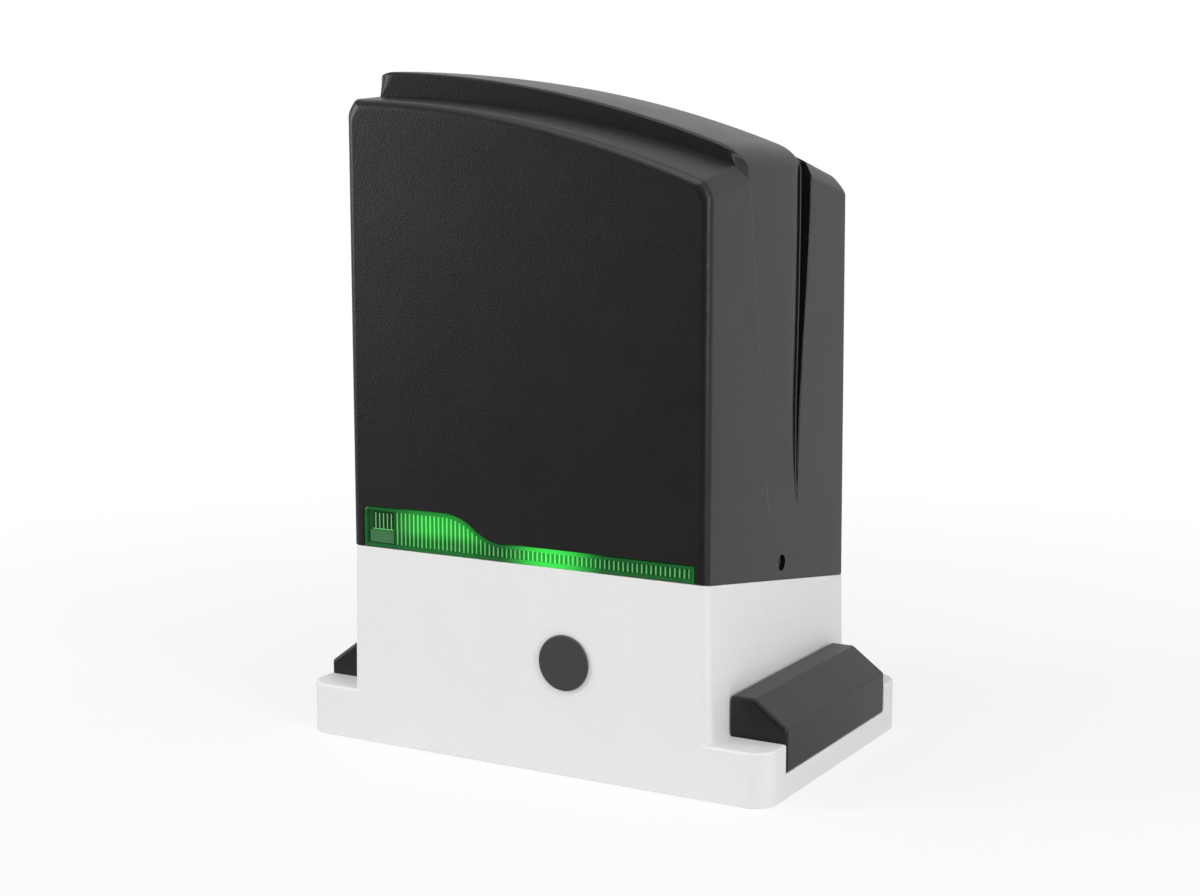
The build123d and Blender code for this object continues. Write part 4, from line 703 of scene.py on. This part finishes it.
# %% Rear shell
for away in (0.5, 1.0):
    skin.add(
        rear_tops, lambda x: RIDGE_REAR + 12.1 + away, lambda side, z: channel_rear(side, z) + 0.1 + away
    )
REAR_EDGE = 10.0
LEAN = 4.0
for share in (0.3, 0.6, 0.9):
    skin.add(
        rear_tops,
        lambda x: mix(RIDGE_REAR + 13.1, REAR - REAR_EDGE, share),
        lambda side, z: mix(channel_rear(side, z) + 1.1, REAR - 4.0, share),
        lean=LEAN * share,
    )
for angle in reversed(quarter(6)):
    skin.add(
        rear_tops,
        lambda x: REAR - REAR_EDGE * (1 - math.cos(angle)),
        lambda side, z: REAR - 4.0 * (1 - math.cos(angle)),
        inset=4.0 * (1 - math.sin(angle)),
        drop=6.0 * (1 - math.sin(angle)),
        lean=LEAN,
    )
# The channel's faces get the near-black finish, which paints their shade.
cover = skin.solid("cover_skin", cover_grain, (groove_start, groove_end), painted_shade_black)
print(len(skin.lines), "sections in all,", len(cover.data.polygons), "faces")

# %% [markdown]
# A moulding has a wall, not just a skin. Solidify could give it one, but at the channel its inner side
# would cross itself. A second, plainer net with the wall's thickness taken off makes a clean hollow, which
# is cut out of the first. The openings follow in the same way: the lens window, the screw recesses and the
# slot for the limit switch at the rear.

# %% Hollow of the cover
WALL = 2.5
hollow_net = Net(wall=WALL, floor=-8.0)
hollow_net.add(shell_tops, lambda x: FRONT + WALL, lambda side, z: FRONT + WALL)
hollow_net.add(shell_tops, lambda x: ridge_front(x) + WALL, lambda side, z: ridge_line(side, z) + WALL)
for share in (0.0, 0.5, 1.0):
    hollow_net.add(
        ridge_tops,
        lambda x: mix(ridge_front(x) + WALL + 0.2, RIDGE_REAR - WALL, share),
        lambda side, z: mix(ridge_line(side, z) + WALL + 0.2, band_end(side, z) - 0.2, share),
        drop=1.2 * share, depth=step_depth, **TALL,
    )
for share in (0.0, 1.0):
    hollow_net.add(
        rear_tops,
        lambda x: mix(RIDGE_REAR - WALL + 0.2, RIDGE_REAR + 14.0, share),
        lambda side, z: mix(band_end(side, z), channel_rear(side, z) + WALL, share),
        depth=channel_depth,
    )
hollow_net.add(rear_tops, lambda x: RIDGE_REAR + 14.2, lambda side, z: channel_rear(side, z) + WALL + 0.2)
hollow_net.add(rear_tops, lambda x: REAR - REAR_EDGE, lambda side, z: REAR - REAR_EDGE, lean=LEAN)
hollow_net.add(rear_tops, lambda x: REAR - WALL, lambda side, z: REAR - WALL, drop=5.0, lean=LEAN)
hollow = hollow_net.solid("cover_hollow", cover_grain)
print("hollow has", len(hollow_net.lines), "sections")

# %% Openings of the cover
LENS_LEFT = -91.6
LENS_RIGHT = 92.6
LENS_TOP = 120.7
LENS_LOW = 108.8
BEND_START = -44.0
BEND_END = -10.0


def lens_outline(grow=0.0, base=97.0):
    """Outline of the lens in X and Z: a tall block at the left that sweeps down to a thin strip."""
    half_run = (BEND_END - BEND_START) / 2
    half_fall = (LENS_TOP - LENS_LOW) / 2
    radius = (half_run**2 + half_fall**2) / (2 * half_fall)
    turn = math.asin(half_run / radius)
    outline = [(LENS_LEFT - grow, base), (LENS_RIGHT + grow, base), (LENS_RIGHT + grow, LENS_LOW + grow)]
    for step in range(11):
        angle = turn * step / 10
        reach = radius - grow
        outline.append((BEND_END - reach * math.sin(angle), LENS_LOW + radius - reach * math.cos(angle)))
    for step in range(10):
        angle = turn * (9 - step) / 10
        reach = radius + grow
        outline.append((BEND_START + reach * math.sin(angle), LENS_TOP - radius + reach * math.cos(angle)))
    for step in range(7):
        angle = math.radians(90 * step / 6)
        reach = 2.5 + grow
        outline.append((LENS_LEFT + 2.5 - reach * math.sin(angle), LENS_TOP - 2.5 + reach * math.cos(angle)))
    return outline


SCREW_Z = 97.0
SLOT_X = 24.0
SLOT_HALF = 16.3
limit_slot = box_outline(SLOT_X - SLOT_HALF, SLOT_X + SLOT_HALF, 60, 128.3)
# The lens window's cutter carries the near-black finish, as painted shade for the walls it cuts.
openings = [
    hollow,
    prism("lens_window", lens_outline(0.5, 90.0), FRONT - 5, FRONT + 6, painted_shade_black),
    prism("limit_slot", limit_slot, REAR - 9, REAR + 5, cover_grain),
]
cut(cover, openings)
for side in (-1, 1):
    inner, outer = side * (HALF - 7.5), side * (HALF - 1.0)
    boss = prism("screw_boss", disc(7.0, 0, SCREW_Z), inner, outer, cover_grain, "X")
    joiner = cover.modifiers.new("boss", "BOOLEAN")
    joiner.operation = "UNION"
    joiner.solver = "EXACT"
    joiner.object = boss
    apply_modifiers(cover)
    bpy.data.objects.remove(boss)
# The screw recess cutters carry the near-black finish, as painted shade for the recesses.
recesses = []
for side in (-1, 1):
    for radius, deep in ((4.0, 4.0), (2.2, 9.0)):
        inner, outer = side * (HALF - deep), side * (HALF + 3)
        recesses.append(prism("recess", disc(radius, 0, SCREW_Z), inner, outer, painted_shade_black, "X"))
cut(cover, recesses)
soften(cover, 32)
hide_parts("cover_shell")
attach(cover, "cover")
print("cover has", len(cover.data.polygons), "faces and", len(cover.data.materials), "materials")

# %% [markdown]
# ## Signal lens
# The lens is a clear green moulding with a smooth frame, a sunk panel and thin upright ribs that spread
# the light of the lamps behind it. Its frame is a stack of rings with the same outline, each grown or
# shrunk a little, joined ring to ring. The ribs repeat at an even pitch, so geometry nodes place them: a
# line of points, a round rib on each, sunk to half its depth in the panel and as tall as the lens is at
# its place.


# %% Green plastics
BLOCK_GLOW_X = -45.0
STRIP_GLOW_X = 17.0


def green_finish(name, color, least, most, roughness=0.16, in_block=0.72):
    """Green plastic with two lit places: the block of the lens and the middle of its strip."""
    recipe = Recipe(name)
    shader = recipe.node("BsdfPrincipled", Specular_IOR_Level=0.55, Emission_Color=(0.045, 0.80, 0.075, 1))
    cloud = recipe.node("TexNoise", Scale=160.0, Detail=3.0)
    recipe.join(recipe.place(), cloud.inputs["Vector"])
    tint = recipe.node("Mix", data_type="RGBA")
    tint.inputs[6].default_value = [c * 0.8 for c in color] + [1]
    tint.inputs[7].default_value = [c * 1.2 for c in color] + [1]
    recipe.join(cloud.outputs["Fac"], tint.inputs[0])
    recipe.join(tint.outputs[2], shader.inputs["Base Color"])
    gloss = recipe.node("MapRange", To_Min=roughness - 0.05, To_Max=roughness + 0.05)
    recipe.join(cloud.outputs["Fac"], gloss.inputs["Value"])
    recipe.join(gloss.outputs[0], shader.inputs["Roughness"])
    ripple = recipe.node("Bump", Strength=0.5, Distance=0.05 * MM)
    recipe.join(cloud.outputs["Fac"], ripple.inputs["Height"])
    recipe.join(ripple.outputs[0], shader.inputs["Normal"])
    parts = recipe.node("SeparateXYZ")
    recipe.join(recipe.place(), parts.inputs[0])

    def away_from(x):
        return recipe.math("ABSOLUTE", recipe.math("SUBTRACT", parts.outputs["X"], x * MM))

    block_lit = recipe.ramp(away_from(BLOCK_GLOW_X), 10.0 * MM, 34.0 * MM, in_block, 0.0)
    above_sill = recipe.ramp(parts.outputs["Z"], 105.5 * MM, 112.0 * MM, 0.2, 1.0)
    strip_lit = recipe.ramp(away_from(STRIP_GLOW_X), 2.0 * MM, 30.0 * MM, 1.0, 0.0)
    lit = recipe.math("MAXIMUM", recipe.math("MULTIPLY", block_lit, above_sill), strip_lit)
    glow = recipe.node("MapRange", To_Min=least, To_Max=most)
    recipe.join(lit, glow.inputs["Value"])
    recipe.join(glow.outputs[0], shader.inputs["Emission Strength"])
    recipe.join(shader.outputs[0], recipe.out.inputs["Surface"])
    return recipe.owner


frame_green = green_finish("lens_frame_green", (0.011, 0.10, 0.024), 0.02, 0.90, 0.14, 0.22)
panel_green = green_finish("lens_panel_green", (0.007, 0.060, 0.014), 0.015, 0.42, 0.20, 0.80)
rib_green = green_finish("lens_rib_green", (0.11, 0.42, 0.13), 0.10, 0.90, 0.22, 0.75)
plain_green = green_finish("lens_plate_green", (0.045, 0.16, 0.06), 0.01, 0.02, 0.30)
dark_green = green_finish("lens_slot_green", (0.003, 0.025, 0.006), 0.0, 0.0, 0.30)
print("five green plastics made")

# %% Frame of the lens
LENS_FLOOR = 100.7
PANEL_DEPTH = 0.9
rings = [
    (1.6, FRONT + 3.9), (2.0, FRONT + 3.5), (2.0, FRONT + 2.8), (0.0, FRONT + 2.8), (0.0, FRONT + 0.45),
    (-0.12, FRONT + 0.15), (-0.45, FRONT), (-1.25, FRONT), (-1.55, FRONT + 0.3), (-1.6, FRONT + PANEL_DEPTH),
]
points = []
for grow, y in rings:
    low = LENS_FLOOR + max(0.0, -grow) * 1.2 if grow < 0 else LENS_FLOOR
    points += [Vector((x, y, z)) * MM for x, z in lens_outline(grow, low)]
count = len(points) // len(rings)
faces = [
    (k * count + j, k * count + (j + 1) % count, (k + 1) * count + (j + 1) % count, (k + 1) * count + j)
    for k in range(len(rings) - 1)
    for j in range(count)
]
faces.append(tuple(range(count)))
faces.append(tuple(reversed(range((len(rings) - 1) * count, len(rings) * count))))
lens = mesh_piece("lens_moulding", points, faces, frame_green)
lens.data.materials.append(panel_green)
lens.data.polygons[len(faces) - 1].material_index = 1
face_outwards(lens)
soften(lens, 35)
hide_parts("signal_lens")
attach(lens, "cover")
print("lens frame has", len(lens.data.polygons), "faces")


# %% Rib maker
class Growth:
    """A geometry node tree with named inputs, and short calls for adding nodes and ending it."""

    def __init__(self, name, counts, lengths):
        self.tree = bpy.data.node_groups.new(name, "GeometryNodeTree")
        kinds = [(title, "NodeSocketInt") for title in counts]
        kinds += [(title, "NodeSocketFloat") for title in lengths]
        for title, kind in kinds + [("Finish", "NodeSocketMaterial")]:
            self.tree.interface.new_socket(name=title, in_out="INPUT", socket_type=kind)
        self.tree.interface.new_socket(name="Geometry", in_out="OUTPUT", socket_type="NodeSocketGeometry")
        self.entry = self.node("NodeGroupInput").outputs

    def node(self, kind, joins=None, values=None, **settings):
        """New node. Joins and values go to inputs by name or number. A node stands for its first output."""
        made = self.tree.nodes.new(kind)
        for key, value in settings.items():
            setattr(made, key, value)
        for key, value in (values or {}).items():
            made.inputs[key].default_value = value
        for key, source in (joins or {}).items():
            start = source.outputs[0] if isinstance(source, bpy.types.Node) else source
            self.tree.links.new(start, made.inputs[key])
        return made

    def xyz(self, **joins):
        return self.node("ShaderNodeCombineXYZ", joins)

    def end(self, spread):
        """Make the copies real, give them their finish and hand them out."""
        real = self.node("GeometryNodeRealizeInstances", {0: spread})
        coat = self.node("GeometryNodeSetMaterial", {"Geometry": real, "Material": self.entry["Finish"]})
        self.node("NodeGroupOutput", {0: coat})
        return self.tree


def rib_tree(name):
    """Node tree: a line of points, an upright round rib on each, tall as the lens is there."""
    lengths = ("Pitch", "Left", "Front", "Low", "Block Top", "Strip Top", "Width", "Depth")
    grow = Growth(name, ("Ribs",), lengths)
    entry = grow.entry
    start = grow.xyz(X=entry["Left"], Y=entry["Front"])
    stride = grow.xyz(X=entry["Pitch"])
    joins = {"Count": entry["Ribs"], "Start Location": start, "Offset": stride}
    line = grow.node("GeometryNodeMeshLine", joins)
    parts = grow.node("ShaderNodeSeparateXYZ", {0: grow.node("GeometryNodeInputPosition")})
    top = grow.node(
        "ShaderNodeMapRange",
        {"Value": parts.outputs["X"], "To Min": entry["Block Top"], "To Max": entry["Strip Top"]},
        {"From Min": BEND_START * MM, "From Max": BEND_END * MM},
        interpolation_type="SMOOTHSTEP",
    )
    height = grow.node("ShaderNodeMath", {0: top, 1: entry["Low"]}, operation="SUBTRACT")
    half = grow.node("ShaderNodeMath", {0: height}, {1: 0.5}, operation="MULTIPLY")
    middle = grow.node("ShaderNodeMath", {0: half, 1: entry["Low"]}, operation="ADD")
    named = {"Name": "rib_height"}
    joins = {"Geometry": line, "Value": height}
    keep = grow.node("GeometryNodeStoreNamedAttribute", joins, named, data_type="FLOAT", domain="POINT")
    raised = grow.node("GeometryNodeSetPosition", {"Geometry": keep, "Offset": grow.xyz(Z=middle)})
    read = grow.node("GeometryNodeInputNamedAttribute", None, named, data_type="FLOAT")
    size = grow.xyz(X=entry["Width"], Y=entry["Depth"], Z=read)
    rib = grow.node("GeometryNodeMeshCylinder", None, {"Vertices": 12, "Radius": 0.5, "Depth": 1.0})
    joins = {"Points": raised, "Instance": rib, "Scale": size}
    return grow.end(grow.node("GeometryNodeInstanceOnPoints", joins))


def grow_piece(name, tree, **values):
    """Run a node tree with named inputs and keep what it makes as a plain mesh."""
    piece = mesh_piece(name, [(0, 0, 0)], [], powder_coat)
    piece.data.materials.clear()
    maker = piece.modifiers.new("maker", "NODES")
    maker.node_group = tree
    for item in tree.interface.items_tree:
        if item.in_out == "INPUT" and item.name.replace(" ", "_") in values:
            maker[item.identifier] = values[item.name.replace(" ", "_")]
    apply_modifiers(piece)
    return piece


# %% Ribs of the lens
upright = rib_tree("lens_ribs_tree")
panel_y = (FRONT + PANEL_DEPTH) * MM
ribs = grow_piece(
    "lens_ribs", upright, Ribs=67, Pitch=2.45 * MM, Left=-72.0 * MM, Front=panel_y, Low=102.8 * MM,
    Block_Top=118.9 * MM, Strip_Top=107.2 * MM, Width=0.75 * MM, Depth=0.9 * MM, Finish=rib_green,
)
slots = grow_piece(
    "lens_slot_bars", upright, Ribs=5, Pitch=2.35 * MM, Left=-84.9 * MM, Front=panel_y, Low=110.2 * MM,
    Block_Top=118.0 * MM, Strip_Top=118.0 * MM, Width=0.8 * MM, Depth=1.2 * MM, Finish=rib_green,
)
shade = prism(
    "lens_slot_shade", box_outline(-86.2, -74.4, 110.0, 118.4), FRONT + 0.6, FRONT + 1.2, dark_green
)
plate = prism(
    "lens_plate", box_outline(-88.0, -74.2, 103.2, 109.2), FRONT + 0.45, FRONT + 1.2, plain_green
)
sill = prism("lens_sill", box_outline(-86.2, -74.4, 109.6, 110.2), FRONT + 0.2, FRONT + 1.2, rib_green)
for piece in (ribs, slots, shade, plate, sill):
    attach(piece, "cover")
print("ribs have", len(ribs.data.vertices), "points")

# %% [markdown]
# ## Edges
# A real casting or moulding has no knife-sharp edge. Each piece below is a copy of its CAD solid with its
# loose triangles joined into flat faces again and a narrow bevel on the sharp edges, so that the edges
# catch the light.


# %% Dress a CAD piece
body_of_node = {node: body for body, held in frame["record"]["behaviour"]["bodies"].items() for node in held}
slot_of_node = {part["node"]: part["material_slot"] for part in frame["record"]["subparts"]}


SHARP = 28
MOST_OUT = 0.02


def grown(piece, node):
    """How far a piece stands out of its CAD solid's box, in millimetres."""
    low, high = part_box(node)
    points = [point.co for point in piece.data.vertices]
    outs = [low[axis] - min(p[axis] for p in points) for axis in range(3)]
    outs += [max(p[axis] for p in points) - high[axis] for axis in range(3)]
    return max(outs) / MM


def dress(node, width, steps=2, material=None):
    """Copy of a CAD piece with narrow round edges, shown in its place, or nothing if it would stand out."""
    piece = mesh_piece(node + "_dressed", [], [], material or works[slot_of_node[node]])
    net = bmesh.new()
    net.from_mesh(nodes[node].data)
    bmesh.ops.remove_doubles(net, verts=net.verts, dist=0.001 * MM)
    bmesh.ops.dissolve_limit(
        net, angle_limit=math.radians(0.6), verts=net.verts, edges=net.edges, use_dissolve_boundaries=False
    )
    net.to_mesh(piece.data)
    net.free()
    for face in piece.data.polygons:
        face.material_index = 0
    edge = piece.modifiers.new("edge", "BEVEL")
    edge.width = width * MM
    edge.segments = steps
    edge.limit_method = "ANGLE"
    edge.angle_limit = math.radians(SHARP)
    edge.use_clamp_overlap = False
    apply_modifiers(piece)
    if grown(piece, node) > MOST_OUT:
        bpy.data.objects.remove(piece)
        return None
    soften(piece, 40)
    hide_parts(node)
    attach(piece, body_of_node[node])
    return piece


# %% Base, hoods, cap and screws with soft edges
for node, width in (
    ("base_casting", 0.7), ("bolt_cover_right", 0.9), ("bolt_cover_left", 0.9), ("release_cap", 0.35),
    ("cover_screws", 0.2),
):
    piece = dress(node, width, material=dark_zinc if node == "cover_screws" else None)
    print(node, "has", len(piece.data.polygons), "faces")

# %% Works inside with soft edges
EDGES = {
    0.6: ["gearbox_lid", "motor_can", "limit_switch_housing", "board_carrier"],
    0.4: [
        "motor_flange", "motor_end_bell", "transformer_bracket", "transformer_clamp", "relays", "capacitors",
        "cable_grommet", "pinion_bolt", "output_shaft", "shift_fork",
    ],
    0.25: [
        "terminal_blocks", "display_window", "button_housings", "program_button_plus",
        "program_button_minus", "program_button_enter", "limit_microswitches", "limit_lever",
        "drive_pinion", "release_spindle",
        "dog_clutch", "shaft_key", "front_shaft_bearing", "rear_shaft_bearing", "lower_worm_bearing",
        "upper_worm_bearing", "screw_clips", "encoder_disc", "encoder_sensor", "board_standoffs",
    ],
    0.15: [
        "control_board", "led_board", "lid_screws", "motor_screws", "worm_wheel", "armature",
        "motor_brushes", "motor_magnets", "motor_shaft", "shift_guide_pins",
    ],
}
plain = []
for width, held in EDGES.items():
    for node in held:
        if dress(node, width, steps=1 if width < 0.3 else 2) is None:
            plain.append(node)
print("kept as in the CAD model:", plain)

# %% [markdown]
# ## Transformer windings
# A ring transformer is wound: the wire goes through the bore and round the outside, turn after turn. A
# rounded rectangle swept with a thin round section is one turn, and geometry nodes set the turns round the
# ring at even angles. A plain ring fills the space below the wire.


# %% Winding maker
def winding_tree(name):
    """Node tree: one turn of wire round a ring's section, repeated round the ring."""
    grow = Growth(name, ("Turns",), ("Middle", "Section Width", "Section Height", "Round", "Wire"))
    entry = grow.entry
    turn = grow.node(
        "GeometryNodeCurvePrimitiveQuadrilateral",
        {"Width": entry["Section Width"], "Height": entry["Section Height"]},
    )
    joins = {"Curve": turn, "Radius": entry["Round"]}
    rounded = grow.node("GeometryNodeFilletCurve", joins, {"Count": 4}, mode="POLY")
    wire = grow.node("GeometryNodeCurvePrimitiveCircle", {"Radius": entry["Wire"]}, {"Resolution": 6})
    swept = grow.node("GeometryNodeCurveToMesh", {"Curve": rounded, "Profile Curve": wire})
    upright = grow.node(
        "GeometryNodeTransform",
        {"Geometry": swept, "Translation": grow.xyz(X=entry["Middle"])},
        {"Rotation": (math.radians(90), 0, 0)},
    )
    line = grow.node("GeometryNodeMeshLine", {"Count": entry["Turns"]}, {"Offset": (0, 0, 0)})
    index = grow.node("GeometryNodeInputIndex")
    part = grow.node("ShaderNodeMath", {0: index, 1: entry["Turns"]}, operation="DIVIDE")
    angle = grow.node("ShaderNodeMath", {0: part}, {1: 2 * math.pi}, operation="MULTIPLY")
    joins = {"Points": line, "Instance": upright, "Rotation": grow.xyz(Z=angle)}
    return grow.end(grow.node("GeometryNodeInstanceOnPoints", joins))


# %% Wound transformer
low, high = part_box("toroidal_transformer")
ring_middle = (Vector(low) + Vector(high)) / 2
outer = (high[0] - low[0]) / 2
bore = 13.0 * MM
wire_radius = 0.45 * MM
reach = 4.0 * MM
section_width = outer - bore - 2 * wire_radius
section_height = high[2] - low[2] - 2 * wire_radius
enamel = finish("copper_enamel", (0.50, 0.20, 0.06), 0.26, 0.7, 0.01, 0.8, 0.12)
winding = grow_piece(
    "transformer_winding", winding_tree("winding_tree"), Turns=96, Middle=(outer + bore) / 2,
    Section_Width=section_width, Section_Height=section_height, Round=reach, Wire=wire_radius, Finish=enamel,
)
for point in winding.data.vertices:
    point.co += ring_middle
core_points = []
profile = []
for corner_x, corner_z, start in ((1, 1, 0), (-1, 1, 90), (-1, -1, 180), (1, -1, 270)):
    for step in range(5):
        turn = math.radians(start + 90 * step / 4)
        profile.append((
            (outer + bore) / 2 + corner_x * (section_width / 2 - reach) + reach * math.cos(turn),
            corner_z * (section_height / 2 - reach) + reach * math.sin(turn),
        ))
AROUND = 72
for step in range(AROUND):
    turn = 2 * math.pi * step / AROUND
    core_points += [ring_middle + Vector((r * math.cos(turn), r * math.sin(turn), z)) for r, z in profile]
rows = len(profile)
core_faces = []
for step in range(AROUND):
    here = step * rows
    there = (step + 1) % AROUND * rows
    core_faces += [(here + p, there + p, there + (p + 1) % rows, here + (p + 1) % rows) for p in range(rows)]
core = mesh_piece("transformer_ring", core_points, core_faces, works["winding_tape"])
face_outwards(core)
soften(core, 40)
soften(winding, 60)
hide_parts("toroidal_transformer")
for piece in (core, winding):
    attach(piece, "base")
print("winding has", len(winding.data.polygons), "faces")

# %% [markdown]
# ## Small parts on the control board
# Under the cover the board is what a person looks at. Its terminals get plain round clamping screws, and
# the board gets a controller with two rows of legs and small resistors in two lines. All are rounded
# blocks or discs.


# %% Small parts on the board
BOARD_FACE = -57.0


def blocks(name, places, size, soft, material, like):
    """Equal rounded blocks with their middles at the given places, in millimetres."""
    shape = bmesh.new()
    for place in places:
        made = bmesh.ops.create_cube(shape, size=1)["verts"]
        bmesh.ops.scale(shape, vec=[length * MM for length in size], verts=made)
        bmesh.ops.translate(shape, vec=[length * MM for length in place], verts=made)
    return small_piece(name, shape, soft, material, like)


def discs(name, places, radius, thick, soft, material, like):
    """Equal rounded discs that face forwards."""
    shape = bmesh.new()
    for place in places:
        made = bmesh.ops.create_cone(
            shape, cap_ends=True, segments=28, radius1=radius * MM, radius2=radius * MM, depth=thick * MM
        )["verts"]
        upright = Matrix.Rotation(math.radians(90), 3, "X")
        bmesh.ops.rotate(shape, cent=(0, 0, 0), matrix=upright, verts=made)
        bmesh.ops.translate(shape, vec=[length * MM for length in place], verts=made)
    return small_piece(name, shape, soft, material, like)


def small_piece(name, shape, soft, material, like):
    """Turn a shape into a piece with soft edges that rides with a CAD piece."""
    mesh = bpy.data.meshes.new(name)
    shape.to_mesh(mesh)
    shape.free()
    piece = bpy.data.objects.new(name, mesh)
    bpy.context.scene.collection.objects.link(piece)
    mesh.materials.append(material)
    edge = piece.modifiers.new("edge", "BEVEL")
    edge.width = soft * MM
    edge.segments = 2
    apply_modifiers(piece)
    soften(piece, 40)
    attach(piece, body_of_node[like])
    return piece


terminal_x = [-61.0 + 27.5 * block + 3.6 + 5.75 * way for block in range(4) for way in range(4)]
discs(
    "terminal_clamp_screws", [(x, BOARD_FACE - 11.0, 131.2) for x in terminal_x], 1.7, 0.7, 0.12,
    finish("plated_screw", (0.55, 0.55, 0.53), 0.32, 1.0, 0.01, 0.6, 0.06), "lid_screws",
)
# Painted shade: thin near-black blocks on the terminals' faces stand for the shade inside their wire
# openings.
blocks(
    "terminal_wire_mouths", [(x, BOARD_FACE - 10.95, 126.4) for x in terminal_x], (3.6, 0.3, 3.0), 0.08,
    painted_shade_black, "capacitors",
)
leg_finish = finish("tinned_legs", (0.62, 0.62, 0.60), 0.36, 1.0, 0.01, 0.5, 0.05)
legs = [(-52.0 + 2.0 * leg, BOARD_FACE - 0.35, 187.0 + row * 7.6) for leg in range(11) for row in (-1, 1)]
blocks("controller_legs", legs, (0.8, 0.5, 2.4), 0.08, leg_finish, "lid_screws")
blocks(
    "controller", [(-42.0, BOARD_FACE - 1.05, 187.0)], (23.0, 1.9, 13.0), 0.25,
    finish("chip_black", (0.018, 0.018, 0.02), 0.42, 0.0, 0.03, 0.5, 0.06), "capacitors",
)
resistors = [(-58.0 + 5.5 * part, BOARD_FACE - 0.3, 145.0 + 2.5 * (part % 2)) for part in range(20)]
blocks(
    "resistors", resistors, (3.2, 0.7, 1.6), 0.12,
    finish("resistor_black", (0.03, 0.03, 0.032), 0.38, 0.0, 0.02, 0.4, 0.06), "capacitors",
)
print("small parts on the board:", 2 * len(terminal_x) + len(legs) + 1 + len(resistors))
